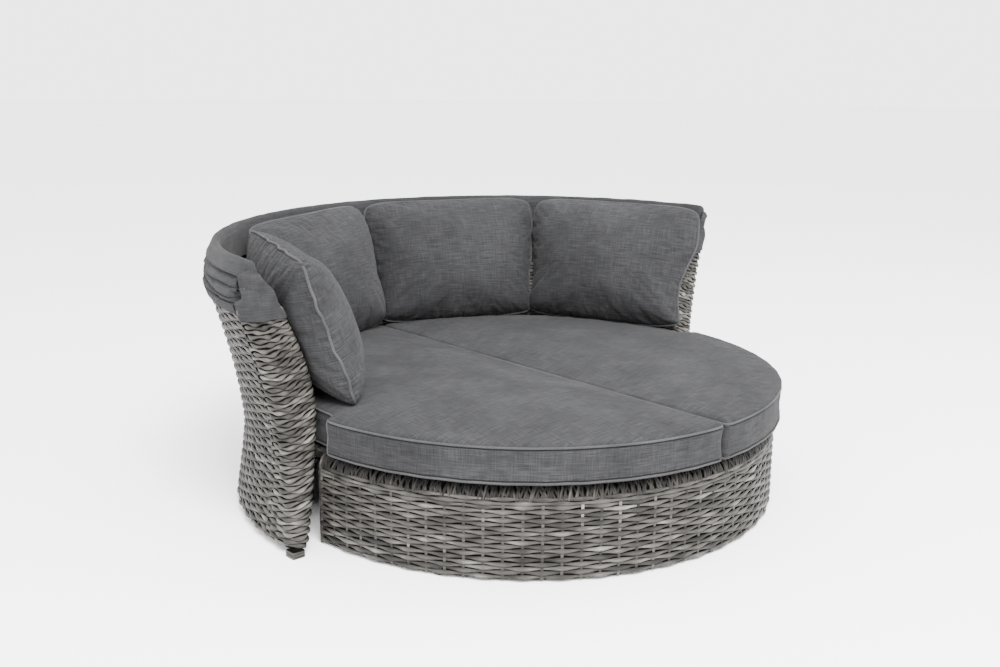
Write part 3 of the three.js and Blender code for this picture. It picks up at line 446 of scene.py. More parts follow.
def shell_skin(node, face, inward, seed):
    """One woven face of the shell. inward is 1 on the outside and -1 on the seat's side."""
    reach = float(face(np.array(0.5)))
    start = math.asin(END_BACK / reach)
    length = (math.pi - 2 * start) * reach

    def place(s, z, lift):
        return around(face(z) + inward * (lift - FACE_SINK), start + s / reach, z)

    sheet = Sheet()
    flip = inward < 0
    low = SHELL_FLOOR_GAP + WEAVE_MARGIN
    section = THIN_SECTION if flip else STRAND_SECTION
    strands(sheet, place, length, low, RIM_LOW, seed, flip=flip, section=section)
    stakes(sheet, place, length, low, RIM_LOW, flip=flip)
    ground(sheet, place, length, SHELL_FLOOR_GAP, RIM_LOW, flip=flip)
    piece = sheet.build(node + "_weave", [weave, weave_gap_shade])
    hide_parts(node)
    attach(piece, "root")


shell_skin("shell_outer_skin", outer_face, 1, 1)
shell_skin("shell_inner_skin", inner_face, -1, 2)

# Ends of the shell: the strands of both faces turn round the front edge here and lie closer. Their
# colour is a little lighter, as painted light on the ends. The outer front corner is round, the
# inner one sharper.

SIDES = (("left", -1), ("right", 1))
END_ROUND = 0.044
END_ROUND_INNER = 0.012
END_PITCH = 0.0110
END_COLUMNS = 48
END_LEVELS = 40                 # heights at which the outline is worked out
END_STAKES = 8.6                # stakes that a strand passes on its way round
END_NARROW_SHARE = 0.38
END_SWELL_SHARE = 0.24
END_BULGE_SHARE = 1.1           # height of a strand's back against the faces' strands
END_TILT = 0.10                 # how unevenly the rows run, in pitches
END_SLANT = 3.0                 # rows that a strand climbs towards the seat
END_CLIMB_START = 0.25          # share of the way round where it starts to climb
END_CLIMB_SHARE = 0.6           # and over which it climbs
END_LEVEL_ROWS = 9              # rows over which this fades at the foot and under the rim


def eased(values):
    """Rises from 0 to 1 with a soft start and end."""
    values = np.clip(values, 0, 1)
    return values * values * (3 - 2 * values)


def travelled(path):
    """How far along a path each of its points lies."""
    return np.r_[0, np.cumsum(np.linalg.norm(np.diff(path, axis=0), axis=1))]


def at_steps(path, steps):
    """The points of a flat path at the given distances along it."""
    travel = travelled(path)
    return np.stack([np.interp(steps, travel, path[:, k]) for k in (0, 1)], -1)


def even_steps(path, count):
    return np.linspace(0, travelled(path)[-1], count)


def lifted(flat, lift):
    """Moves each point of an outline outwards."""
    along = np.gradient(flat, axis=0)
    outward = np.stack([-along[:, 1], along[:, 0]], -1)
    outward /= np.linalg.norm(outward, axis=1)[:, None]
    return flat + outward * lift[:, None]


def end_outline(z, lift):
    """Points round the end at one height, from the outer face by the front edge to the inner one."""
    front = end_face(z)
    outer, inner = outer_face(z) - FACE_SINK, inner_face(z) + FACE_SINK
    points = []
    for y in np.linspace(END_BACK, front + END_ROUND, 5):
        points.append((math.sqrt(outer ** 2 - y ** 2), y))
    for turn in np.linspace(0, math.pi / 2, 9)[1:]:
        y = front + FACE_SINK + (END_ROUND - FACE_SINK) * (1 - math.sin(turn))
        points.append((math.sqrt(outer ** 2 - y ** 2) - END_ROUND * (1 - math.cos(turn)), y))
    corner = math.sqrt(inner ** 2 - front ** 2)
    for x in np.linspace(points[-1][0], corner + END_ROUND_INNER, 5)[1:]:
        points.append((x, front + FACE_SINK))
    for turn in np.linspace(0, math.pi / 2, 4)[1:]:
        points.append((corner + END_ROUND_INNER * (1 - math.sin(turn)),
                       front + FACE_SINK + END_ROUND_INNER * (1 - math.cos(turn))))
    for y in np.linspace(front + FACE_SINK + END_ROUND_INNER, END_BACK, 5)[1:]:
        points.append((math.sqrt(inner ** 2 - y ** 2), y))
    return lifted(np.array(points), lift)


def even_outline(z, lift):
    """The same outline in steps of one length."""
    flat = end_outline(z, np.zeros(1))
    return lifted(at_steps(flat, even_steps(flat, END_COLUMNS)), lift)


def end_strands(sheet, side, seed):
    """Strands that run round an end and climb towards the seat, level at its foot and its top."""
    dice = np.random.default_rng(seed)
    travel = np.linspace(0, 1, END_COLUMNS)
    climb = eased((travel - END_CLIMB_START) / END_CLIMB_SHARE)
    low, high = SHELL_FLOOR_GAP + WEAVE_MARGIN, RIM_LOW
    rows = round((high - low) / END_PITCH)
    pitch = (high - low) / rows
    levels = np.linspace(SHELL_FLOOR_GAP, RIM_LOW, END_LEVELS)
    places, outwards = [np.array([even_outline(z, np.full(1, lift)) for z in levels]) for lift in (0, 1)]
    outwards = outwards - places
    across = np.arange(len(STRAND_SECTION)) / (len(STRAND_SECTION) - 1)
    for row in range(rows):
        over = np.cos(np.pi * (travel * END_STAKES + row))
        wave = WAVE * over * np.clip(1.5 - travel, 0.5, 1)
        wide = pitch * (END_NARROW_SHARE + END_SWELL_SHARE * np.clip(over, 0, 1))
        tilt = dice.normal(0, END_TILT) * pitch
        slant = END_SLANT * min(1, row / END_LEVEL_ROWS, (rows - 1 - row) / END_LEVEL_ROWS)
        middle = low + (row + 0.5) * pitch
        grid = []
        for offset, back in STRAND_SECTION:
            z = middle + offset * wide + tilt * (travel - 0.5) + 0.16 * pitch * np.sin(travel * 21 + row)
            z = np.clip(z + slant * pitch * (climb - 0.5), low, high)
            lift = wave + back * BULGE * END_BULGE_SHARE
            table = places + outwards * lift[:, None]
            flat = np.array([[np.interp(z[i], levels, table[:, i, k]) for k in (0, 1)]
                             for i in range(END_COLUMNS)])
            grid.append(np.stack([side * flat[:, 0], flat[:, 1], z], -1))
        maps = spread(travel[:, None] * 0.3 + seed, row + 0.05 + 0.9 * across)
        sheet.add(np.stack(grid, 1), maps, 0, side < 0)


def end_weave(side_name, side, seed):
    sheet = Sheet()
    end_strands(sheet, side, seed)
    travel = np.linspace(0, 1, END_COLUMNS)
    heights = np.linspace(SHELL_FLOOR_GAP, RIM_LOW, FACE_ROWS)
    back = np.full(END_COLUMNS, -GROUND_SINK)
    # A wall behind the end's strands, in the near-black painted shade of the gaps.
    wall = np.array([np.c_[even_outline(z, back) * (side, 1), np.full(END_COLUMNS, z)] for z in heights])
    maps = spread(travel[None, :], heights[:, None])
    sheet.add(wall, maps, 1, side > 0)
    half = END_COLUMNS // 2
    foot = wall[0]
    sheet.add(np.stack([foot[:half], foot[::-1][:half]]), np.zeros((2, half, 2)), 1, side > 0)
    node = "shell_end_" + side_name
    # The end's strands take the lighter copy of the weave, as painted light on the end.
    piece = sheet.build(node + "_weave", [lit_weave, weave_gap_shade])
    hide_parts(node)
    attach(piece, "root")


for side_name, side in SIDES:
    end_weave(side_name, side, 3 + side)

# Woven apron under the front half of the seat: rows like the shell's up to the lip, one thicker
# row round the lip, and slanted strands that cross on the shoulder and go in under the mattress.
# The crossing strands are coloured darker, as painted shade under the mattress's overhang.

APRON_RADIUS = 0.783
APRON_LOW = 0.008
APRON_LIP = 0.214
APRON_RISE = 0.0517
APRON_TURN_IN = 0.0324
APRON_FRONT = 0.0163            # how far in front of the shell's middle line its ends lie
LIP_ROW = 0.0075
LIP_WAVE = 0.0012
LIP_BULGE = 0.0032
CROSS_PITCH = 0.0105
CROSS_SHIFT = 0.0040            # how unevenly the crossing strands are set
CROSS_LEAN = 0.016
CROSS_LEAN_SPREAD = 0.45
CROSS_WIDTH = 0.0078
CROSS_LIFT = 0.0016             # of the upper strands over the lower ones
CROSS_STEPS = 9


def place_apron(s, t, lift):
    """t runs up the side and on round the shoulder, both as a height."""
    turn = np.clip((t - APRON_LIP) / APRON_RISE, 0, 1) * math.pi / 2
    radius = APRON_RADIUS - FACE_SINK - APRON_TURN_IN * (1 - np.cos(turn)) + lift * np.cos(turn)
    z = np.minimum(t, APRON_LIP) + (APRON_RISE - FACE_SINK) * np.sin(turn) + lift * np.sin(turn)
    start = math.pi + math.asin(APRON_FRONT / APRON_RADIUS)
    return around(radius, start + s / APRON_RADIUS, z)


def crossings(sheet, place, length, low, high, lean, lift, seed):
    """Short strands that climb from low to high and lean to one side."""
    dice = np.random.default_rng(seed)
    count = round(length / CROSS_PITCH)
    middles = (np.arange(count) + 0.5) * length / count + dice.normal(0, CROSS_SHIFT, count)
    climb = np.linspace(0, 1, CROSS_STEPS)
    side, back = section_parts(STRAND_SECTION)
    lean = lean * (1 + dice.normal(0, CROSS_LEAN_SPREAD, (count, 1, 1)))
    s = middles[:, None, None] + lean * (climb[None, :, None] - 0.5) + side * CROSS_WIDTH / 2
    t = low + (high - low) * climb[None, :, None] + 0 * s
    arch = lift * np.sin(math.pi * climb)[None, :, None] + back * BULGE + 0 * s
    number = np.arange(count)[:, None, None]
    maps = spread(t + number * 0.37, number + seed + 0.5 + side * MAP_HALF)
    sheet.add(place(np.clip(s, 0, length), t, arch), maps, 2, True)


def apron():
    sheet = Sheet()
    reach = math.pi - 2 * math.asin(APRON_FRONT / APRON_RADIUS)
    length = reach * APRON_RADIUS
    low, top = APRON_LOW + WEAVE_MARGIN, APRON_LIP + APRON_RISE
    strands(sheet, place_apron, length, low, APRON_LIP, 11)
    stakes(sheet, place_apron, length, low, APRON_LIP)
    strands(sheet, place_apron, length, APRON_LIP - 0.002, APRON_LIP + 2 * LIP_ROW, 12, pitch=LIP_ROW,
            wave=LIP_WAVE, bulge=LIP_BULGE)
    # The crossing strands take the darker copy of the weave: painted shade under the mattress's overhang.
    crossings(sheet, place_apron, length, APRON_LIP + LIP_ROW, top, CROSS_LEAN, CROSS_LIFT, 13)
    crossings(sheet, place_apron, length, APRON_LIP + LIP_ROW, top, -CROSS_LEAN, 0, 14)
    ground(sheet, place_apron, length, APRON_LOW, top, rows=40)
    piece = sheet.build("apron_weave", [weave, weave_gap_shade, shade_weave])
    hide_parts("apron_skin")
    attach(piece, "root")


apron()

# Wrapped bars: the shell's rim, the seat ring behind the gap, the apron's ends and the two square
# feet under the shell's front corners are bound with the same strand, turn beside turn.

WRAP_PITCH = 0.0095
WRAP_LIFT = 0.0022
WRAP_HALF = 0.53                # half a turn's width, in pitches: the turns overlap a little
WRAP_SPREAD = 0.12
RIM_INNER = 0.8575
RIM_OUTER = 0.9630
RIM_CORNER = 0.011
RIM_TOP_SINK = 0.0018           # of its binding below the shell's height
RIM_PAST_FACE = 0.012           # by which it runs past the faces' ends
RING_INNER = 0.7250
RING_OUTER = 0.7503
RING_LOW = 0.2327
RING_HIGH = 0.2577
RING_CORNER = 0.003
APRON_END_INNER = 0.7270
APRON_END_BACK = -0.0078
APRON_END_DEPTH = 0.0080
END_FOOT_SIZE = 0.038
END_FOOT_HEIGHT = 0.0195
END_FOOT_ANGLES = {"shell_foot_1": -2.6, "shell_foot_5": 182.6}
END_FOOT_RADIUS = 0.887
END_FOOT_WRAP_PITCH = 0.0065
END_FOOT_WRAP_LIFT = 0.0016
END_FOOT_CORNER = 0.004
END_FOOT_LOW = 0.0006           # where its binding starts
END_FOOT_SOLE = 0.0004          # and the height of the plate that closes it below
END_FOOT_PLATE_SHARE = 0.995
MERGE_REACH = 1e-6


def rounded_section(low, high, corner, steps=3):
    """Closed outline of a rounded rectangle, counter-clockwise, with its outward directions."""
    points, directions = [], []
    centres = ((high[0] - corner, high[1] - corner, 0), (low[0] + corner, high[1] - corner, 1),
               (low[0] + corner, low[1] + corner, 2), (high[0] - corner, low[1] + corner, 3))
    for x, y, quarter in centres:
        for step in range(steps + 1):
            turn = (quarter + step / steps) * math.pi / 2
            directions.append((math.cos(turn), math.sin(turn)))
            points.append((x + corner * math.cos(turn), y + corner * math.sin(turn)))
    return np.array(points + points[:1]), np.array(directions + directions[:1])


def wraps(sheet, place, section, length, seed, pitch=WRAP_PITCH, lift=WRAP_LIFT, flip=False):
    """Turns of strand round a bar. place turns (s, section x, section y) into points."""
    dice = np.random.default_rng(seed)
    outline, directions = section
    count = max(2, round(length / pitch))
    pitch = length / count
    number = np.arange(count)[:, None, None]
    side, back = section_parts(STRAND_SECTION)
    s = np.clip((number + 0.5 + side * WRAP_HALF) * pitch, 0, length)
    out = back * lift * (1 + dice.normal(0, WRAP_SPREAD, (count, 1, 1)))
    x = outline[None, :, None, 0] + directions[None, :, None, 0] * out
    y = outline[None, :, None, 1] + directions[None, :, None, 1] * out
    s, x, y = np.broadcast_arrays(s, x, y)
    turn = np.linspace(0, 0.15, len(outline))[None, :, None]
    row = number + seed * 7 + 0.5 + side * MAP_HALF
    maps = spread(turn + number * 0.71, row)
    sheet.add(place(s, x, y), maps, 0, flip)


def bound_bar(name, place, section, length, seed, flip=False):
    sheet = Sheet()
    wraps(sheet, place, section, length, seed, flip=flip)
    piece = sheet.build(name, [weave])
    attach(piece, "root")


def bars_round_the_seat():
    rim_start = math.asin((END_BACK - RIM_PAST_FACE) / RIM_OUTER)

    def place_rim(s, x, y):
        return around(x, rim_start + s / RIM_OUTER, y)

    section = rounded_section((RIM_INNER, RIM_LOW + WEAVE_MARGIN),
                              (RIM_OUTER, SHELL_HEIGHT - RIM_TOP_SINK), RIM_CORNER)
    bound_bar("rim_binding", place_rim, section, (math.pi - 2 * rim_start) * RIM_OUTER, 21)

    def place_ring(s, x, y):
        return around(x, s / RING_OUTER, y)

    section = rounded_section((RING_INNER, RING_LOW), (RING_OUTER, RING_HIGH), RING_CORNER, 2)
    bound_bar("seat_ring_binding", place_ring, section, math.pi * RING_OUTER, 22)


bars_round_the_seat()


def apron_end_binding(side_name, side):
    low, high = APRON_LOW + WEAVE_MARGIN, RING_LOW - WEAVE_MARGIN
    section = rounded_section((APRON_END_INNER, APRON_END_BACK - APRON_END_DEPTH),
                              (APRON_RADIUS - WEAVE_MARGIN, APRON_END_BACK), RING_CORNER, 2)

    def place(s, x, y):
        shoulder = np.clip((low + s - APRON_LIP) / APRON_RISE, 0, 1)
        drawn_in = APRON_TURN_IN * (1 - np.cos(shoulder * math.pi / 2))
        return np.stack([side * np.minimum(x, APRON_RADIUS - drawn_in), y, low + s], -1)

    bound_bar(f"apron_end_{side_name}_binding", place, section, high - low, 25 + side, side < 0)


def merge_points(mesh, reach):
    """Closes the seams and poles of a shape whose points lie on each other."""
    shape = bmesh.new()
    shape.from_mesh(mesh)
    bmesh.ops.remove_doubles(shape, verts=shape.verts, dist=reach)
    shape.to_mesh(mesh)
    shape.free()


def end_foot(node, angle, seed):
    turn = math.radians(angle)
    middle = Vector((END_FOOT_RADIUS * math.cos(turn), END_FOOT_RADIUS * math.sin(turn), 0))
    half = END_FOOT_SIZE / 2
    section = rounded_section((-half, -half), (half, half), END_FOOT_CORNER, 2)

    def place(s, x, y):
        return np.stack([middle.x + x, middle.y + y, END_FOOT_LOW + s], -1)

    sheet = Sheet()
    wraps(sheet, place, section, END_FOOT_HEIGHT, seed, END_FOOT_WRAP_PITCH, END_FOOT_WRAP_LIFT)
    outline = section[0] * END_FOOT_PLATE_SHARE
    # Plates at the sole and the top close the binding, in the near-black painted shade of the gaps.
    for z, flip in ((END_FOOT_SOLE, True), (END_FOOT_HEIGHT, False)):
        ring = np.c_[outline + (middle.x, middle.y), np.full(len(outline), z)]
        centre = np.broadcast_to([middle.x, middle.y, z], ring.shape)
        sheet.add(np.stack([ring, centre]), np.zeros((2, len(ring), 2)), 1, flip)
    piece = sheet.build(node + "_bound", [weave, weave_gap_shade])
    merge_points(piece.data, MERGE_REACH)
    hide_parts(node)
    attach(piece, "root")


for side_name, side in SIDES:
    apron_end_binding(side_name, side)
for number, (node, angle) in enumerate(END_FOOT_ANGLES.items()):
    end_foot(node, angle, 31 + number)

# Cushion cloth: a dark grey outdoor weave with thick and thin threads both ways. The map of each
# piece is in metres, so the threads keep their size on every cushion.

CUSHION_TONES = [
    (0.30, (0.0086, 0.0086, 0.0091)),
    (0.50, (0.0195, 0.0195, 0.0204)),
    (0.72, (0.0390, 0.0390, 0.0408)),
]
CANOPY_TONES = [
    (0.28, (0.0096, 0.0096, 0.0100)),
    (0.50, (0.0200, 0.0200, 0.0209)),
    (0.75, (0.0370, 0.0370, 0.0387)),
]
# The pipings: the cushions' cloth, coloured a little lighter as painted highlight on the proud cord.
PIPING_HIGHLIGHT_TONES = [
    (0.25, (0.0160, 0.0160, 0.0168)),
    (0.50, (0.0340, 0.0340, 0.0355)),
    (0.75, (0.0600, 0.0600, 0.0627)),
]
# Painted shade: the near-black colour of the thin cord beside each mattress piping, for the shadow in the
# crease.
CREASE_SHADE_TONES = [
    (0.25, (0.0030, 0.0030, 0.0032)),
    (0.50, (0.0065, 0.0065, 0.0068)),
    (0.75, (0.0130, 0.0130, 0.0136)),
]
THREAD_PITCH = 0.0016
FORM_MERGE_REACH = 1e-5


def checks(tree, x, y, pitch):
    """A soft square weave: waves both ways, multiplied."""
    waves = []
    for place in (x, y):
        turns = combine(tree, "MULTIPLY", place, 2 * math.pi / pitch)
        waves.append(combine(tree, "SINE", turns, 0.0))
    return combine(tree, "MULTIPLY", *waves)


def cloth_material(name, tones, slub=1.0):
    """Woven cloth in metres of its own map. slub is how uneven its threads are."""
    material, tree, shader = new_material(name)
    place, u, v = own_map(tree)
    lengthwise = noise_texture(tree, scaled(tree, place, (16, 300, 1)), 1.0, 4, 0.65)
    crosswise = noise_texture(tree, scaled(tree, place, (300, 16, 1)), 1.0, 4, 0.65)
    clouds = noise_texture(tree, object_place(tree), 5.0, 3, 0.55)
    threads = weighed(tree, lengthwise, 0.62 * slub, crosswise, 0.38 * slub)
    tone = combine(tree, "ADD", threads, combine(tree, "MULTIPLY", clouds, 0.30))
    tone = combine(tree, "ADD", tone, 0.35 - 0.5 * slub)
    tree.links.new(ramp(tree, tone, tones), shader.inputs["Base Color"])
    weft = combine(tree, "MULTIPLY", checks(tree, u, v, THREAD_PITCH), 0.25)
    height = combine(tree, "ADD", weft, threads)
    shader.inputs["Roughness"].default_value = 0.92
    shader.inputs["Sheen Weight"].default_value = 0.03
    shader.inputs["Sheen Roughness"].default_value = 0.5
    shader.inputs["Specular IOR Level"].default_value = 0.02
    bump(tree, shader, height, 0.5, 0.0009)
    return material


def trim_material(name, tones):
    """Cloth of the narrow trims, mapped by place in the object."""
    material, tree, shader = new_material(name)
    fine = noise_texture(tree, object_place(tree), 420, 3, 0.6)
    clouds = noise_texture(tree, object_place(tree), 9, 2, 0.5)
    tone = weighed(tree, fine, 0.6, clouds, 0.4)
    tree.links.new(ramp(tree, tone, tones), shader.inputs["Base Color"])
    shader.inputs["Roughness"].default_value = 0.9
    shader.inputs["Sheen Weight"].default_value = 0.03
    shader.inputs["Specular IOR Level"].default_value = 0.02
    bump(tree, shader, fine, 0.5, 0.0006)
    return material


cushion_cloth = cloth_material("cushion_cloth", CUSHION_TONES)
canopy_cloth = cloth_material("canopy_cloth", CANOPY_TONES, 0.8)
# Pipings a little lighter as painted highlight; the thin cord beside the mattress's pipings near black as
# painted shade of the crease.
piping_highlight_cloth = trim_material("piping_highlight_cloth", PIPING_HIGHLIGHT_TONES)
crease_shade_cloth = trim_material("crease_shade_cloth", CREASE_SHADE_TONES)


def final_mesh(piece):
    """Puts what the modifiers make of a piece in its own mesh."""
    graph = bpy.context.evaluated_depsgraph_get()
    mesh = bpy.data.meshes.new_from_object(piece.evaluated_get(graph))
    piece.modifiers.clear()
    old, piece.data = piece.data, mesh
    bpy.data.meshes.remove(old)


def add_modifier(piece, kind, **facts):
    modifier = piece.modifiers.new(kind.lower(), kind)
    for name, value in facts.items():
        setattr(modifier, name, value)
    return modifier


def corners(piece):
    """The places of a piece's points."""
    flat = np.empty(len(piece.data.vertices) * 3)
    piece.data.vertices.foreach_get("co", flat)
    return flat.reshape(-1, 3)


def move_corners(piece, points):
    piece.data.vertices.foreach_set("co", points.ravel())
    piece.data.update()


def close_form(name, node, voxel, smoothing):
    """An even copy of a soft solid, ready to be stuffed."""
    mesh = nodes[node].data.copy()
    merge_points(mesh, FORM_MERGE_REACH)
    mesh.materials.clear()
    piece = bpy.data.objects.new(name, mesh)
    bpy.context.scene.collection.objects.link(piece)
    add_modifier(piece, "REMESH", mode="VOXEL", voxel_size=voxel, use_smooth_shade=True)
    add_modifier(piece, "SMOOTH", factor=0.5, iterations=smoothing)
    final_mesh(piece)
    return piece


def finder(path):
    """Finds the point of a path that is nearest to a place."""
    tree = KDTree(len(path))
    for number, point in enumerate(path):
        tree.insert(point, number)
    tree.balance()
    return tree


def pin(piece, path, reach):
    """Holds the points of a piece that lie on a seam."""
    tree = finder(path)
    held = [v.index for v in piece.data.vertices if tree.find(v.co)[2] < reach]
    piece.vertex_groups.new(name="seam").add(held, 1.0, "REPLACE")


CLOTH_FRAMES = 20
PIN_REACH = 1.2                 # from a seam to the points that it holds, in voxels
PIPING_LIFT = 0.0012
CREASE_SHADE_CORD = 0.0020              # a thin dark cord along the stitching beside a piping, painted shade of the crease
CREASE_SHADE_SINK = -0.0002
CREASE_SHADE_GAP = 0.0050


def stuff(pieces, growth, pressure):
    """Blows the pieces up together as cloth that is a little larger than its form."""
    for piece in pieces:
        modifier = piece.modifiers.new("cloth", "CLOTH")
        settings = modifier.settings
        settings.quality = 5
        settings.mass = 0.3
        settings.tension_stiffness = settings.compression_stiffness = 12
        settings.shear_stiffness = 5
        settings.bending_stiffness = 0.4
        settings.use_pressure = True
        settings.uniform_pressure_force = pressure
        settings.shrink_min = -growth
        settings.vertex_group_mass = "seam"
        settings.pin_stiffness = 1
        settings.effector_weights.gravity = 0
        modifier.collision_settings.use_collision = False
        modifier.collision_settings.use_self_collision = False
    scene = bpy.context.scene
    for frame_number in range(1, CLOTH_FRAMES + 1):
        scene.frame_set(frame_number)
    for piece in pieces:
        final_mesh(piece)
    scene.frame_set(1)


def waver(values, seed, scale):
    """Smooth noise along a list of places, from about -1 to 1."""
    wave = [noise.noise(Vector((value * scale, seed * 7.3, seed * 1.9))) for value in values]
    return np.array(wave) * 1.7


def capped(start, end, cap):
    """Where points end that move from start to end, but no further than cap."""
    step = end - start
    length = np.linalg.norm(step, axis=1)
    return start + step * np.minimum(1, cap / np.maximum(length, 1e-9))[:, None]


def map_by_face(piece, coordinates):
    """Gives each face's corners a map. coordinates turns points and the face normals into (u, v)."""
    mesh = piece.data
    while mesh.uv_layers:
        mesh.uv_layers.remove(mesh.uv_layers[0])
    layer = mesh.uv_layers.new(name="strand")
    corner = np.empty(len(mesh.loops), np.int32)
    mesh.loops.foreach_get("vertex_index", corner)
    starts = np.empty(len(mesh.polygons), np.int32)
    mesh.polygons.foreach_get("loop_start", starts)
    normals = np.empty(len(mesh.polygons) * 3)
    mesh.polygons.foreach_get("normal", normals)
    counts = np.diff(np.append(starts, len(corner)))
    facing = np.repeat(normals.reshape(-1, 3), counts, axis=0)
    layer.data.foreach_set("uv", coordinates(corners(piece)[corner], facing).ravel())


def softened(path, times):
    """A closed path with each point drawn towards its neighbours."""
    for _ in range(times):
        path = (np.roll(path, 1, 0) + 2 * path + np.roll(path, -1, 0)) / 4
    return path


def onto(piece, path, lift, closed=True):
    """Moves a path onto the nearest surface of a piece, lifted a little."""
    graph = bpy.context.evaluated_depsgraph_get()
    shape = BVHTree.FromObject(piece, graph)
    points = []
    for point in path:
        place, normal, _, _ = shape.find_nearest(Vector(point))
        points.append(place + normal * lift)
    return softened(np.array(points), 2 if closed else 0)


def round_trim(name, path, radius, material, closed=True):
    """A piping: a round cord of cloth along a path."""
    curve = bpy.data.curves.new(name, "CURVE")
    curve.dimensions = "3D"
    curve.bevel_depth = radius
    curve.bevel_resolution = 3
    curve.use_fill_caps = not closed
    spline = curve.splines.new("POLY")
    spline.points.add(len(path) - 1)
    spline.points.foreach_set("co", np.c_[path, np.ones(len(path))].ravel())
    spline.use_cyclic_u = closed
    spline.use_smooth = True
    piece = bpy.data.objects.new(name, curve)
    piece.data.materials.append(material)
    bpy.context.scene.collection.objects.link(piece)
    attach(piece, "root")


# Mattress: two foam halves in boxed covers. Along both edges runs a piping, a little lighter as
# painted highlight, with a thin dark cord beside it along the stitching as painted shade of the crease.
# The covers are blown up a little between them, which gives the low crown and the soft side band.

MATTRESS_LOW = 0.2663
MATTRESS_HIGH = 0.3863
MATTRESS_REAR = 0.7533          # radius of the half that lies inside the shell
MATTRESS_STEP = -0.0658         # y of the step from there out to the seat's radius
MATTRESS_CORNER = 0.026
MATTRESS_SEAM = 0.0026          # half the gap between the halves
MATTRESS_OUTLINE_STEP = 0.010
MATTRESS_ARC_STEPS = 120
MATTRESS_DECK_GAP = 0.0004
MATTRESS_WALL_GAP = 0.003
MATTRESS_SPREAD = 0.004         # how far it may stand out over the seat's radius
MATTRESS_PIPING = 0.0032
MATTRESS_CORNER_PIPING = MATTRESS_PIPING * 0.8
MATTRESS_PIPING_RISE = 0.0125   # of the pipings from the bottom and from the top
MATTRESS_PIPING_INSET = 0.0030
MATTRESS_PIPING_SWAY = 0.0011
MATTRESS_VOXEL = 0.0105
MATTRESS_SMOOTHING = 2
MATTRESS_CAP = 0.009            # the furthest that the stuffing moves a point
MATTRESS_GROWTH = 0.003
MATTRESS_PRESSURE = 0.6


def arc(radius, first, last):
    turns = np.linspace(first, last, MATTRESS_ARC_STEPS)
    return [(radius * math.cos(turn), radius * math.sin(turn)) for turn in turns]


def mattress_outline(side, inset):
    """The outline of one half, with its corners slightly rounded, as (x, y) points."""
    corner_front = math.asin(MATTRESS_STEP / SEAT_RADIUS)
    corner_rear = math.asin((MATTRESS_STEP + MATTRESS_CORNER) / MATTRESS_REAR)
    rough = arc(SEAT_RADIUS, -math.pi / 2 + MATTRESS_SEAM / SEAT_RADIUS, corner_front)
    rough += arc(MATTRESS_REAR, corner_rear, math.pi / 2 - MATTRESS_SEAM / MATTRESS_REAR)
    rough.append((MATTRESS_SEAM, -SEAT_RADIUS + 0.001))
    rough = np.array(rough + rough[:1])
    length = travelled(rough)[-1]
    steps = np.arange(0, length - MATTRESS_OUTLINE_STEP / 2, MATTRESS_OUTLINE_STEP)
    points = softened(at_steps(rough, steps), 3)
    along = np.roll(points, -1, 0) - np.roll(points, 1, 0)
    inward = np.stack([-along[:, 1], along[:, 0]], -1)
    points = points + inward / np.linalg.norm(inward, axis=1)[:, None] * inset
    return points * (side, 1)


def mattress_map(points, facing):
    """The threads run along the side band, up and down the middle seam, and straight over the top."""
    angle = np.arctan2(points[:, 1], np.abs(points[:, 0]) + 1e-6)
    side = np.stack([angle * SEAT_RADIUS, points[:, 2]], -1)
    seam = points[:, [1, 2]]
    top = points[:, [0, 1]]
    upright = np.abs(facing[:, 2:]) < 0.6
    inner = upright & (np.abs(points[:, :1]) < 0.02)
    return np.where(inner, seam, np.where(upright, side, top))


def mattress_rings(side):
    """The lower and the upper edge, where the pipings lie."""
    rings = []
    for z in (MATTRESS_LOW + MATTRESS_PIPING_RISE, MATTRESS_HIGH - MATTRESS_PIPING_RISE):
        flat = mattress_outline(side, MATTRESS_PIPING_INSET)
        sway = [MATTRESS_PIPING_SWAY * noise.noise(Vector((x * 5, y * 5, z * 40))) for x, y in flat]
        rings.append(np.c_[flat, z + np.array(sway)])
    return rings


def mattress_held(points):
    """Keeps the bottom flat on the deck and the halves off the shell and within the seat's radius."""
    points[:, 2] = np.maximum(points[:, 2], MATTRESS_LOW + MATTRESS_DECK_GAP)
    rear = points[:, 1] > MATTRESS_STEP + 0.01
    reach = np.hypot(points[:, 0], points[:, 1])
    wall = inner_face(points[:, 2]) - FACE_SINK - MATTRESS_WALL_GAP
    limit = np.where(rear, wall, SEAT_RADIUS + MATTRESS_SPREAD)
    points[:, :2] *= np.minimum(1, limit / np.maximum(reach, 1e-6))[:, None]
    return points


def mattress_trims(side_name, side, piece):
    """Pipings with a thin dark cord beside them as painted shade of the crease, and a thin piping up the
    outer corner.
    """
    rings = mattress_rings(side)
    for level, ring, step in zip(("lower", "upper"), rings, (1, -1)):
        path = onto(piece, ring, PIPING_LIFT)
        round_trim(f"mattress_{side_name}_{level}_piping", path, MATTRESS_PIPING, piping_highlight_cloth)
        # A thin cord beside the piping along the stitching, near black as painted shade of the crease.
        path = onto(piece, ring + (0, 0, step * CREASE_SHADE_GAP), CREASE_SHADE_SINK)
        round_trim(f"mattress_{side_name}_{level}_seam", path, CREASE_SHADE_CORD, crease_shade_cloth)
    outer_corner = np.array((side * SEAT_RADIUS, MATTRESS_STEP))
    nearest = np.argmin(np.linalg.norm(rings[0][:, :2] - outer_corner, axis=1))
    ends = [ring[nearest] for ring in rings]
    path = onto(piece, np.linspace(*ends, 12), PIPING_LIFT, closed=False)
    name = f"mattress_{side_name}_corner_piping"
    round_trim(name, path, MATTRESS_CORNER_PIPING, piping_highlight_cloth, closed=False)


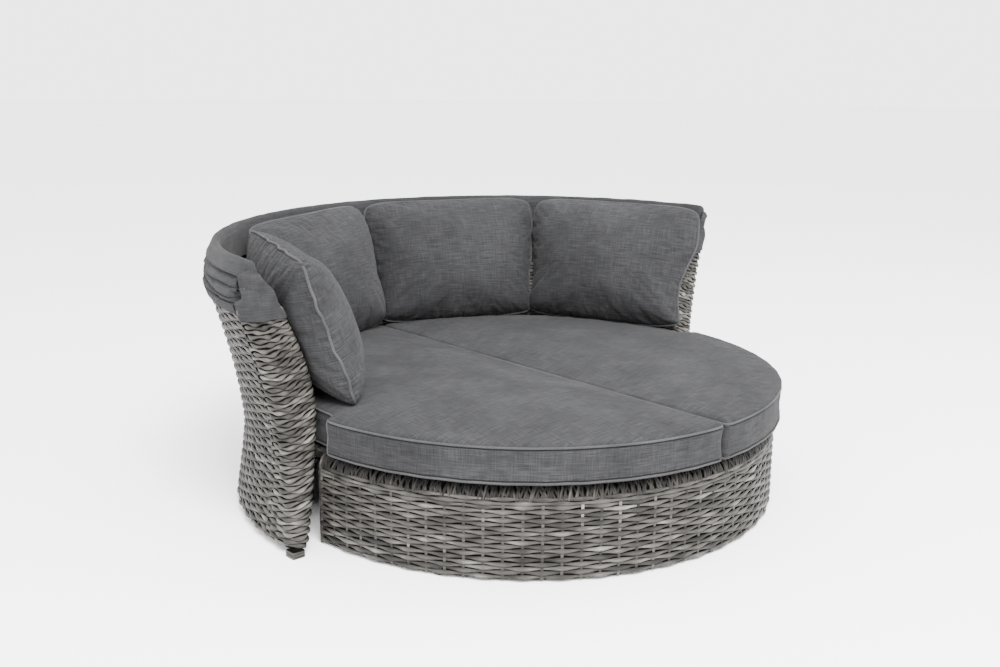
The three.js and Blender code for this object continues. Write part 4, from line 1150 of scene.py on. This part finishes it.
def mattress(forms):
    for side_name, side, piece in forms:
        start = forms_start[piece.name]
        points = mattress_held(capped(start, corners(piece), MATTRESS_CAP))
        points[:, 0] = side * np.maximum(side * points[:, 0], MATTRESS_SEAM)
        move_corners(piece, points)
        add_modifier(piece, "SUBSURF", levels=1, render_levels=1)
        final_mesh(piece)
        map_by_face(piece, mattress_map)
        piece.data.materials.append(cushion_cloth)
        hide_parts("mattress_" + side_name)
        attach(piece, "root")
        mattress_trims(side_name, side, piece)


# Back pillows: two cloth halves sewn together at a piped edge, full in the middle, slack at the
# corners. Each leans on the shell and rests on the mattress.

PILLOW_AZIMUTHS = (157.5, 112.5, 67.5, 22.5)
PILLOW_QUARTER = 22.5           # half the angle of the shell that a pillow may fill
PILLOW_TURNS = (4, 0, 0, 0)
PILLOW_LEANS = (19, 18, 17, 18)
PILLOW_HALF_WIDTH = 0.310
PILLOW_HALF_HEIGHT = 0.225
PILLOW_VOXEL = 0.0065
PILLOW_SMOOTHING = 5
PILLOW_SLACK_SHARE = 0.14       # how much thinner a pillow is before it is stuffed
PILLOW_CAP = 0.024              # the furthest that the stuffing moves a point
PILLOW_GROWTH = 0.014
PILLOW_PRESSURE = 4.0
PILLOW_PIPING = 0.0042
PILLOW_REST = 0.0012            # air between a pillow and what it leans on
PILLOW_WALL_GAP = 0.004         # and what the shell's strands need of it
PILLOW_LIMIT_OVER_SHELL = 0.908
PILLOW_FOOT = 0.45              # below this height a pillow may meet the mattress
PILLOW_WIDEN = (1.02, 1.04, 1.05, 1.045)
SEAM_SWAY = (0.0060, 0.0016, 0.0014, 0.0020)
CORNER_DRAW = (0.007, 0.013, 0.016, 0.018)      # how far the sewn corners are drawn in
SIDE_FULLNESS = (0.0, 0.010, 0.014, 0.012)      # and how far the sides between them swell
PUCKER_LENGTH = 0.024
PUCKER_REACH = 0.022
PUCKER_START = 0.006            # from the seam to where the folds begin
PUCKER_PATCH = 0.05             # length of seam over which the folds keep their strength
SEAM_SWAY_REACH = 0.02
SEAM_SQUARENESS = 6             # 2 would be an ellipse
PUCKERS = (0.0042, 0.0020, 0.0018, 0.0022)      # depth of the short folds beside each seam
SEAM_POINTS = 220


def pillow_axes(number):
    """Along a pillow's width, up its height and out of its front."""
    turned = math.radians(PILLOW_AZIMUTHS[number] + PILLOW_TURNS[number])
    lean = math.radians(PILLOW_LEANS[number])
    out = np.array((math.cos(turned), math.sin(turned), 0))
    across = np.array((-math.sin(turned), math.cos(turned), 0))
    upward = out * math.sin(lean) + np.array((0, 0, math.cos(lean)))
    return across, upward, np.cross(upward, across)


def seam_path(points, number):
    """The piped edge: the outermost points of a pillow, seen square to its face."""
    across, upward, _ = pillow_axes(number)
    low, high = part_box(f"pillow_{number + 1}")
    middle = np.array((low + high) / 2)
    rel = points - middle
    a, b = rel @ across, rel @ upward
    a = (a - (a.min() + a.max()) / 2) / PILLOW_HALF_WIDTH
    b = (b - (b.min() + b.max()) / 2) / PILLOW_HALF_HEIGHT
    reach = (np.abs(a) ** SEAM_SQUARENESS + np.abs(b) ** SEAM_SQUARENESS) ** (1 / SEAM_SQUARENESS)
    slot = ((np.arctan2(b, a) / math.pi + 1) / 2 * SEAM_POINTS).astype(int) % SEAM_POINTS
    path = []
    for number_on_path in range(SEAM_POINTS):
        inside = np.where(slot == number_on_path)[0]
        if len(inside):
            best = inside[np.argsort(reach[inside])[-3:]]
            path.append(points[best].mean(0))
    return softened(np.array(path), 4)


def thin_out(piece, number):
    """Draws a pillow's two faces in towards its seam."""
    facing = pillow_axes(number)[2]
    points = corners(piece)
    depth = (points - seams[piece.name].mean(0)) @ facing
    move_corners(piece, points - np.outer(depth * PILLOW_SLACK_SHARE, facing))


def pillow_held(points, number, rest):
    """Keeps a pillow inside the shell, in its own quarter and on the mattress."""
    reach = np.hypot(points[:, 0], points[:, 1])
    wall = inner_face(points[:, 2]) - FACE_SINK
    wall = np.where(points[:, 2] < SHELL_HEIGHT, wall, PILLOW_LIMIT_OVER_SHELL)
    limit = wall - PILLOW_WALL_GAP - PILLOW_REST
    points[:, :2] *= np.minimum(1, limit / np.maximum(reach, 1e-6))[:, None]
    for edge in (PILLOW_AZIMUTHS[number] - PILLOW_QUARTER, PILLOW_AZIMUTHS[number] + PILLOW_QUARTER):
        if edge in (0, 180):
            continue
        turn = math.radians(edge)
        inward = np.array((-math.sin(turn), math.cos(turn)))
        if edge > PILLOW_AZIMUTHS[number]:
            inward = -inward
        depth = points[:, :2] @ inward
        points[:, :2] += inward * np.maximum(PILLOW_REST - depth, 0)[:, None]
    for i in np.where(points[:, 2] < PILLOW_FOOT)[0]:
        points[i, 2] = max(points[i, 2], rest(points[i]) + PILLOW_REST)
    return points


def draw_corners(points, number, middle):
    """Rounds a pillow's corners, where the piping turns and the filling is thin."""
    across, upward, _ = pillow_axes(number)
    a = (points - middle) @ across / PILLOW_HALF_WIDTH
    b = (points - middle) @ upward / PILLOW_HALF_HEIGHT
    reach = CORNER_DRAW[number] * np.clip(np.abs(a * b), 0, 1) ** 5
    swell = SIDE_FULLNESS[number] * np.clip(np.abs(a), 0, 1) ** 4 * np.clip(1 - b * b, 0, 1)
    return points + np.outer(np.sign(a) * (swell - reach), across) - np.outer(np.sign(b) * reach, upward)


def pucker(piece, number):
    """Short folds that run from the seam into the cloth, where the piping draws it together."""
    path = seams[piece.name]
    travel = travelled(path)
    tree = finder(path)
    facing = pillow_axes(number)[2]
    sway = SEAM_SWAY[number] * waver(travel, number + 2, 24)
    points = corners(piece)
    for index, vertex in enumerate(piece.data.vertices):
        _, nearest, gap = tree.find(vertex.co)
        if gap > PUCKER_REACH * 2.5:
            continue
        points[index] += facing * sway[nearest] * math.exp(-(gap / SEAM_SWAY_REACH) ** 2)
        place = Vector((travel[nearest] / PUCKER_PATCH, number * 9.1, 0.0))
        front = (vertex.co - Vector(path[nearest])).dot(Vector(facing)) > 0
        wave = math.sin(travel[nearest] / PUCKER_LENGTH * 2 * math.pi + 9 * noise.noise(place) + 2 * front)
        fade = math.exp(-(gap / PUCKER_REACH) ** 2) * (1 - math.exp(-(gap / PUCKER_START) ** 2))
        strength = 0.15 + 2.4 * max(0.0, noise.noise(place * 0.43 + Vector((0, 3, front))))
        points[index] += np.array(vertex.normal) * (wave - 0.3) * fade * strength * PUCKERS[number]
    move_corners(piece, points)
    seams[piece.name] = path + np.outer(sway, facing)


def pillow_map(number):
    across, upward, _ = pillow_axes(number)
    return lambda points, normals: np.stack([points @ across, points @ upward], -1)


def pillows(forms, rest):
    for number, piece in forms:
        start = forms_start[piece.name]
        points = capped(start, corners(piece), PILLOW_CAP)
        across = pillow_axes(number)[0]
        middle = seams[piece.name].mean(0)
        widen = PILLOW_WIDEN[number] - 1
        points += np.outer((points - middle) @ across * widen, across)
        seams[piece.name] += np.outer((seams[piece.name] - middle) @ across * widen, across)
        points = draw_corners(points, number, middle)
        seams[piece.name] = draw_corners(seams[piece.name], number, middle)
        move_corners(piece, pillow_held(points, number, rest))
        add_modifier(piece, "SUBSURF", levels=1, render_levels=1)
        final_mesh(piece)
        pucker(piece, number)
        map_by_face(piece, pillow_map(number))
        piece.data.materials.append(cushion_cloth)
        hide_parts(f"pillow_{number + 1}")
        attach(piece, "root")
        path = onto(piece, seams[piece.name], PIPING_LIFT)
        round_trim(f"pillow_{number + 1}_piping", path, PILLOW_PIPING, piping_highlight_cloth)


forms_start, seams = {}, {}
mattress_forms, pillow_forms = [], []
for side_name, side in SIDES:
    name = f"mattress_{side_name}"
    form = close_form(name + "_cover", name, MATTRESS_VOXEL, MATTRESS_SMOOTHING)
    pin(form, np.concatenate(mattress_rings(side)), MATTRESS_VOXEL * PIN_REACH)
    mattress_forms.append((side_name, side, form))
for number in range(len(PILLOW_AZIMUTHS)):
    name = f"pillow_{number + 1}"
    form = close_form(name + "_cover", name, PILLOW_VOXEL, PILLOW_SMOOTHING)
    seams[form.name] = seam_path(corners(form), number)
    thin_out(form, number)
    pin(form, seams[form.name], PILLOW_VOXEL * PIN_REACH)
    pillow_forms.append((number, form))
for form in [item[-1] for item in mattress_forms + pillow_forms]:
    forms_start[form.name] = corners(form)
stuff([item[-1] for item in mattress_forms], MATTRESS_GROWTH, MATTRESS_PRESSURE)
stuff([item[-1] for item in pillow_forms], PILLOW_GROWTH, PILLOW_PRESSURE)
mattress(mattress_forms)


def mattress_top(forms):
    """A function that gives the height of the mattress under a point."""
    graph = bpy.context.evaluated_depsgraph_get()
    shapes = [BVHTree.FromObject(form, graph) for _, _, form in forms]
    down = Vector((0, 0, -1))

    def height(point):
        above = Vector((point[0], point[1], 1.0))
        hits = [shape.ray_cast(above, down)[0] for shape in shapes]
        tops = [hit.z for hit in hits if hit is not None]
        return max(tops) if tops else 0.0

    return height


pillows(pillow_forms, mattress_top(mattress_forms))

# Hoops: round aluminium tube over the solids' eight-sided one. Their lugs, brackets and bolts are
# the solids themselves, which only get a finish.

HOOP_RADIUS = 0.00905
HOOP_STEPS = 241
HOOP_SIDES = 25
HOOPS = {                       # radius, height, and the y where the tube starts
    "rear": (0.944, 0.735, 0.0862),
    "mid": (0.938, 0.766, 0.0862),
    "front": (0.932, 0.797, 0.0702),
}


def metal_material(name, low, high, roughness, metallic):
    """Coated or bare metal, or smooth plastic, between two colours."""
    material, tree, shader = new_material(name)
    fine = noise_texture(tree, object_place(tree), 160, 2, 0.6)
    worn = noise_texture(tree, object_place(tree), 7, 4, 0.6)
    colour = ramp(tree, weighed(tree, fine, 0.35, worn, 0.65), [(0.3, low), (0.7, high)])
    tree.links.new(colour, shader.inputs["Base Color"])
    shader.inputs["Metallic"].default_value = metallic
    shader.inputs["Roughness"].default_value = roughness
    bump(tree, shader, fine, 0.12, 0.0004)
    return material


hoop_coat = metal_material("hoop_coat", (0.030, 0.030, 0.031), (0.050, 0.050, 0.052), 0.5, 0.1)


def hoop_tube(name, radius, height, start):
    """A bent tube with closed ends."""
    first = math.asin(start / radius)
    angles = np.linspace(first, math.pi - first, HOOP_STEPS)
    turns = np.linspace(0, 2 * math.pi, HOOP_SIDES)
    reach = radius + HOOP_RADIUS * np.cos(turns)[:, None]
    rise = height + HOOP_RADIUS * np.sin(turns)[:, None]
    points = around(reach, angles[None, :], rise)
    sheet = Sheet()
    sheet.add(points, np.zeros((*points.shape[:-1], 2)), flip=True)
    for end, flip in ((0, False), (-1, True)):
        centre = np.broadcast_to(points[:-1, end].mean(0), points[:, end].shape)
        sheet.add(np.stack([points[:, end], centre]), np.zeros((2, len(turns), 2)), flip=flip)
    piece = sheet.build(f"hoop_{name}_tube", [hoop_coat])
    merge_points(piece.data, MERGE_REACH)
    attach(piece, "hoop_" + name)


for name, facts in HOOPS.items():
    hoop_tube(name, *facts)

# Canopy: cloth hung from the rim and sewn to the hoops, in thick folds while the hoops are down.
# It is sewn from a sheet per hoop, which meet in the creases between the folds.

CANOPY_WALL = 0.0016
CANOPY_COLUMNS = 470
PANEL_RADIUS = 0.962
PANEL_START = 0.0975            # y of the panels' ends
PANEL_CURL = 0.030              # length over which an end turns in
PANEL_FOLD_SHAPE = 0.62         # below 1, the folds are fuller than a sine
PANEL_FOLD_STEPS = 19
PANEL_CREASE = 0.0024
FOLD_SAG = 0.0035
CANOPY_HEM = 0.664
CANOPY_HEM_GAP = 0.0062         # from the shell's outer face to the hem
FOLDS_LOW = 0.694               # height over which the cloth lies in folds and its ends turn in


def crumple(points, seed, scale, stretch):
    """Ridged noise over a grid of points: sharp creases with soft hollows between."""
    flat = (points.reshape(-1, 3) * stretch * scale).tolist()
    ridges = [1 - 2 * abs(noise.noise(Vector(p) + Vector((seed * 3.1, 0, seed)))) for p in flat]
    return np.array(ridges).reshape(points.shape[:-1])


def cloth_piece(name, sheet):
    """Turns a sheet into cloth with a real thickness."""
    piece = sheet.build(name, [canopy_cloth])
    add_modifier(piece, "SOLIDIFY", thickness=CANOPY_WALL, offset=0.0, use_rim=True)
    final_mesh(piece)
    return piece


def grid_lengths(points):
    """Mean lengths of a grid's rows and columns."""
    across = np.linalg.norm(np.diff(points, axis=1), axis=-1).sum(1).mean()
    along = np.linalg.norm(np.diff(points, axis=0), axis=-1).sum(0).mean()
    return across, along


def canopy_angles(start, radius):
    """Angles along a panel's arc, how far along it they are, and how far from its nearer end."""
    first = math.asin(start / radius)
    angles = np.linspace(first, math.pi - first, CANOPY_COLUMNS)
    travel = angles * radius
    return angles, travel, np.minimum(travel - travel[0], travel[-1] - travel)


def canopy_panel(name, folds, seed, hang, sag=FOLD_SAG):
    """Cloth that hangs straight at the heights of hang and then lies in folds.

    folds are (low, high, inner radius low, inner radius high, depth) and run upwards. Each swells
    and shifts a little along the arc, and all are drawn flat where the panel ends."""
    angles, travel, end = canopy_angles(PANEL_START, PANEL_RADIUS)
    open_up = eased(end / PANEL_CURL)
    reach, rise = [], []
    for z in hang:
        reach.append(outer_face(np.array(z)) + CANOPY_HEM_GAP + 0.0012 * waver(travel, seed + 3, 9))
        rise.append(np.full_like(angles, z))
    for number, (low, high, inner_low, inner_high, depth) in enumerate(folds):
        swell = 1 + 0.30 * waver(travel, seed + number * 5, 5)
        swell = np.clip(swell + 0.16 * waver(travel, seed + 2 + number, 19), 0.3, 1.12)
        shift = 0.24 * waver(travel, seed + 11 + number, 4)
        for t in np.linspace(0, 1, PANEL_FOLD_STEPS)[0 if number == 0 else 1:]:
            bulge = math.sin(math.pi * t) ** PANEL_FOLD_SHAPE if 0 < t < 1 else 0.0
            lean = t + shift * math.sin(math.pi * t)
            inner = inner_low + (inner_high - inner_low) * t
            reach.append(inner + depth * bulge * swell * (0.25 + 0.75 * open_up))
            rise.append(low + (high - low) * lean - sag * bulge * open_up)
    reach, rise = np.array(reach), np.array(rise)
    turned_in = np.clip((rise - FOLDS_LOW) / 0.006, 0, 1) * (rise < 0.724)
    reach -= 0.018 * (1 - open_up) ** 1.5 * turned_in
    points = around(reach, angles[None, :], rise)
    fine = crumple(points, seed, 17, np.array((1, 1, 1.6)))
    inside = np.sin(np.linspace(0, math.pi, len(reach)))[:, None]
    reach = reach + PANEL_CREASE * fine * inside
    points = around(reach, angles[None, :], rise)
    along = travelled(points[:, CANOPY_COLUMNS // 2])
    maps = spread(travel[None, :], along[:, None])
    sheet = Sheet()
    sheet.add(points, maps, flip=True)
    piece = cloth_piece(f"canopy_{name}_folds", sheet)
    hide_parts("canopy_panel_" + name)
    return piece, grid_lengths(points)


def canopy_panels():
    """The rear, middle and front panels, each in its own folds."""
    hang = np.linspace(CANOPY_HEM, 0.690, 6)
    folds = [(0.6925, 0.7075, 0.9590, 0.9582, 0.0115), (0.7075, 0.7353, 0.9582, 0.9572, 0.0125)]
    piece, flat = canopy_panel("rear", folds, 41, hang)
    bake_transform(piece)
    piece, flat = canopy_panel("mid", [(0.7357, 0.7650, 0.9571, 0.9515, 0.0125)], 52, [], 0.0085)
    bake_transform(piece)
    folds = [(0.7655, 0.7760, 0.9508, 0.9480, 0.0012), (0.7760, 0.7880, 0.9480, 0.9450, 0.0010)]
    piece, flat = canopy_panel("front", folds, 63, [])
    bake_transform(piece)


canopy_panels()

# Front hem: the canopy's front edge goes round the front hoop as a wide sleeve. Outside it hangs as
# a band over the folds, inside as a valance behind the pillows, and its ends are sewn shut.

BAND_RADIUS = 0.936
BAND_START = 0.0500
BAND_END_LENGTH = 0.016         # over which its ends close round the hoop
BAND_TAPER = 0.045              # over which its outside comes in towards an end
BAND_MIDDLE = (0.9395, 0.7900)  # radius and height that the ends close on
VALANCE_FADE = 0.085            # height over which the inside comes to hang free
OUTSIDE_TOP = 0.800             # below this the outside sways, more and more over the next height
OUTSIDE_FADE = 0.035
BAND_STEPS = 64
BAND_PATH = [                   # (radius, height) from the valance over the hoop to the outer hem
    (0.9135, 0.7020), (0.9145, 0.7200), (0.9155, 0.7400), (0.9162, 0.7600), (0.9168, 0.7800),
    (0.9176, 0.7925), (0.9198, 0.8020), (0.9245, 0.8088), (0.9315, 0.8116), (0.9385, 0.8092),
    (0.9440, 0.8030), (0.9484, 0.7940), (0.9518, 0.7850), (0.9550, 0.7775), (0.9592, 0.7730),
    (0.9620, 0.7695), (0.9614, 0.7660), (0.9580, 0.7650), (0.9549, 0.7670),
]


def smooth_path(path, count):
    """A path through the points with even steps and rounded turns, and the steps."""
    path = np.array(path)
    for _ in range(3):
        middle = path[:-1] * 0.5 + path[1:] * 0.5
        path = np.concatenate([path[:1], middle, path[-1:]])
    steps = even_steps(path, count)
    return at_steps(path, steps), steps


def canopy_band():
    path, along = smooth_path(BAND_PATH, BAND_STEPS)
    angles, travel, end = canopy_angles(BAND_START, BAND_RADIUS)
    close = np.clip(end / BAND_END_LENGTH, 0, 1)
    close = np.sqrt(1 - (1 - close) ** 2)
    reach = path[:, 0][:, None] + 0 * angles
    rise = path[:, 1][:, None] + 0 * angles
    middle_reach, middle_rise = BAND_MIDDLE
    valance = np.clip((middle_rise - rise) / VALANCE_FADE, 0, 1) * (reach < 0.93)
    outside = np.clip((OUTSIDE_TOP - rise) / OUTSIDE_FADE, 0, 1) * (reach > 0.94)
    reach = reach + 0.0035 * valance * waver(travel, 71, 8) + 0.0012 * outside * waver(travel, 72, 14)
    rise = rise + 0.005 * valance * waver(travel, 73, 6) + 0.0022 * outside * waver(travel, 74, 9)
    rise = rise + 0.0011 * waver(travel, 75, 18) * (rise > middle_rise)
    narrow = np.clip(1 - end / BAND_TAPER, 0, 1) ** 2
    reach = reach - 0.010 * narrow * np.clip((reach - 0.940) / 0.012, 0, 1)
    shrink = 1 - 0.55 * valance * (1 - np.clip(end / 0.05, 0, 1))
    rise = middle_rise + (rise - middle_rise) * np.where(valance > 0, shrink, 1)
    reach = middle_reach + (reach - middle_reach) * close
    rise = middle_rise + (rise - middle_rise) * (0.35 + 0.65 * close)
    points = around(reach, angles[None, :], rise)
    fine = crumple(points, 76, 14, np.array((1, 1, 0.8)))
    reach = reach + 0.0010 * fine * np.where(valance > 0, -1, 1) * close
    points = around(reach, angles[None, :], rise)
    maps = spread(travel[None, :], along[:, None])
    sheet = Sheet()
    sheet.add(points, maps)
    piece = cloth_piece("canopy_front_band", sheet)
    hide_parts("canopy_sleeve")
    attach(piece, "hoop_front")


canopy_band()

# Corner caps: a gusset of canopy cloth drawn over each front top corner of the shell, up to the
# band's end. It hides the pivot, and towards the folds it turns in and leaves a dark pocket.

CAP_LOW = 0.652
CAP_LIFT = 0.0052
CAP_COLUMNS = 72
CAP_ROWS = 44
CAP_INNER_RISE = 0.026          # of the hem on the seat's side
CAP_MIDDLE = (0.905, 0.110)     # the place from which it is puffed out
CAP_BACK = 0.079                # its rear edge above the rim
CAP_TURN_IN = 0.028             # how far that edge turns in, as the pocket's dark wall
CAP_TOPS = [                    # (share of the way round, height) of its upper edge
    (0.0, 0.752), (0.16, 0.780), (0.34, 0.790), (0.52, 0.776), (0.74, 0.725), (1.0, 0.704),
]
cap_cache = {}


def cap_outline(z):
    """The cap's outline at a height, kept to half a millimetre."""
    key = round(min(z, SHELL_HEIGHT) * 2000)
    if key not in cap_cache:
        flat = end_outline(min(key / 2000, SHELL_HEIGHT), np.full(1, CAP_LIFT))
        cap_cache[key] = at_steps(flat, even_steps(flat, CAP_COLUMNS))
    return cap_cache[key]


def cap_creases(points, share, hem, seed):
    """How far the cap's cloth stands out: drawn folds, fine creases, a thick hem and one roll."""
    z = points[..., 2]
    loose = np.clip((z - 0.662) / 0.03, 0, 1)
    drawn = np.sin((share[None, :] * 5.2 - (z - 0.65) * 17) * math.pi + 0.8 * waver(share, seed + 2, 4))
    creases = 0.0042 * loose * drawn * np.sin(share * math.pi)[None, :]
    creases += 0.0028 * crumple(points, seed, 21, np.array((1, 1, 0.7)))
    creases += 0.0012 * np.exp(-((z - hem) / 0.004) ** 2)
    roll = np.clip(share / 0.08, 0, 1) * np.clip((0.72 - share) / 0.2, 0, 1)
    creases += 0.0065 * roll * np.exp(-((z - 0.774 + 0.030 * share) / 0.011) ** 2)
    creases -= 0.0040 * roll * np.exp(-((z - 0.748 + 0.045 * share) / 0.006) ** 2)
    return np.maximum(creases, np.where(z < FOLDS_LOW, -0.0024, -0.0046))


def corner_cap(side_name, side, seed):
    """A sheet round the corner, drawn for the right side and mirrored for the left one."""
    share = np.linspace(0, 1, CAP_COLUMNS)
    tops = np.interp(share, *np.array(CAP_TOPS).T)
    hem = CAP_LOW + 0.0018 * waver(share, seed, 5) - 0.004 * np.sin(share * math.pi)
    hem += CAP_INNER_RISE * np.clip((share - 0.72) / 0.18, 0, 1)
    points = np.empty((CAP_ROWS, CAP_COLUMNS, 3))
    for row, t in enumerate(np.linspace(0, 1, CAP_ROWS)):
        z = hem + (tops - hem) * t
        for column in range(CAP_COLUMNS):
            points[row, column] = (*cap_outline(z[column])[column], z[column])
    x, y, z = points[..., 0], points[..., 1], points[..., 2]
    above = eased((z - FOLDS_LOW) / 0.030)
    y -= above * np.clip((y - 0.050) / (END_BACK - 0.050), 0, 1) * (END_BACK - CAP_BACK)
    lean = np.clip((z - 0.690) / 0.085, 0, 1)
    x += lean * np.clip((0.945 - x) / 0.09, 0, 1) * 0.035
    x += lean * np.clip((x - 0.945) / 0.02, 0, 1) * np.clip((0.772 - z) / 0.02, -0.6, 1) * 0.004
    y += lean * 0.004
    pocket = np.exp(-((z - 0.716) / 0.015) ** 2) * np.clip((y - 0.060) / 0.024, 0, 1) * (share < 0.3)
    x -= 0.017 * pocket
    x -= CAP_TURN_IN * above * np.clip(1 - share / 0.13, 0, 1) ** 1.6 * (z < 0.775)
    outward = points[..., :2] - CAP_MIDDLE
    outward /= np.linalg.norm(outward, axis=-1)[..., None]
    creases = cap_creases(points, share, hem, seed)
    x += outward[..., 0] * creases
    y += outward[..., 1] * creases
    across, along = grid_lengths(points)
    maps = spread(share[None, :] * across, z)
    points = points * (side, 1, 1)
    sheet = Sheet()
    sheet.add(points, maps, flip=side < 0)
    piece = cloth_piece(f"corner_cap_{side_name}_gusset", sheet)
    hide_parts("corner_cap_" + side_name)
    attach(piece, "root")
    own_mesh(piece)


for number, (side_name, side) in enumerate(SIDES):
    corner_cap(side_name, side, 81 + number * 6)

# Frame, hardware and glides: the solids show as they are, with powder coat, zinc and black plastic.
# The deck and the bars under the bindings are woven too, mapped by place in the object.

DECK_PITCH = 0.032


def woven_solid_material():
    material, tree, shader = new_material("woven_solid")
    place = object_place(tree)
    split = tree.nodes.new("ShaderNodeSeparateXYZ")
    tree.links.new(place, split.inputs["Vector"])
    height = checks(tree, split.outputs["X"], split.outputs["Y"], DECK_PITCH)
    fine = noise_texture(tree, place, 90, 3, 0.6)
    tone = weighed(tree, height, 0.28, fine, 0.8)
    tree.links.new(ramp(tree, tone, WEAVE_TONES), shader.inputs["Base Color"])
    shader.inputs["Roughness"].default_value = 0.6
    bump(tree, shader, height, 0.6, 0.002)
    return material


def finish_solids():
    finishes = {
        "frame": metal_material("frame_coat", (0.016, 0.015, 0.014), (0.028, 0.026, 0.024), 0.5, 0.1),
        "hoop": hoop_coat,
        "fastener": metal_material("zinc", (0.10, 0.10, 0.10), (0.18, 0.18, 0.18), 0.4, 0.9),
        "glide": metal_material("glide_plastic", (0.006, 0.006, 0.006), (0.012, 0.012, 0.012), 0.6, 0.0),
        "weave": woven_solid_material(),
    }
    for part in frame["record"]["subparts"]:
        if part["material_slot"] in finishes:
            mesh = nodes[part["node"]].data
            mesh.materials.clear()
            mesh.materials.append(finishes[part["material_slot"]])


finish_solids()
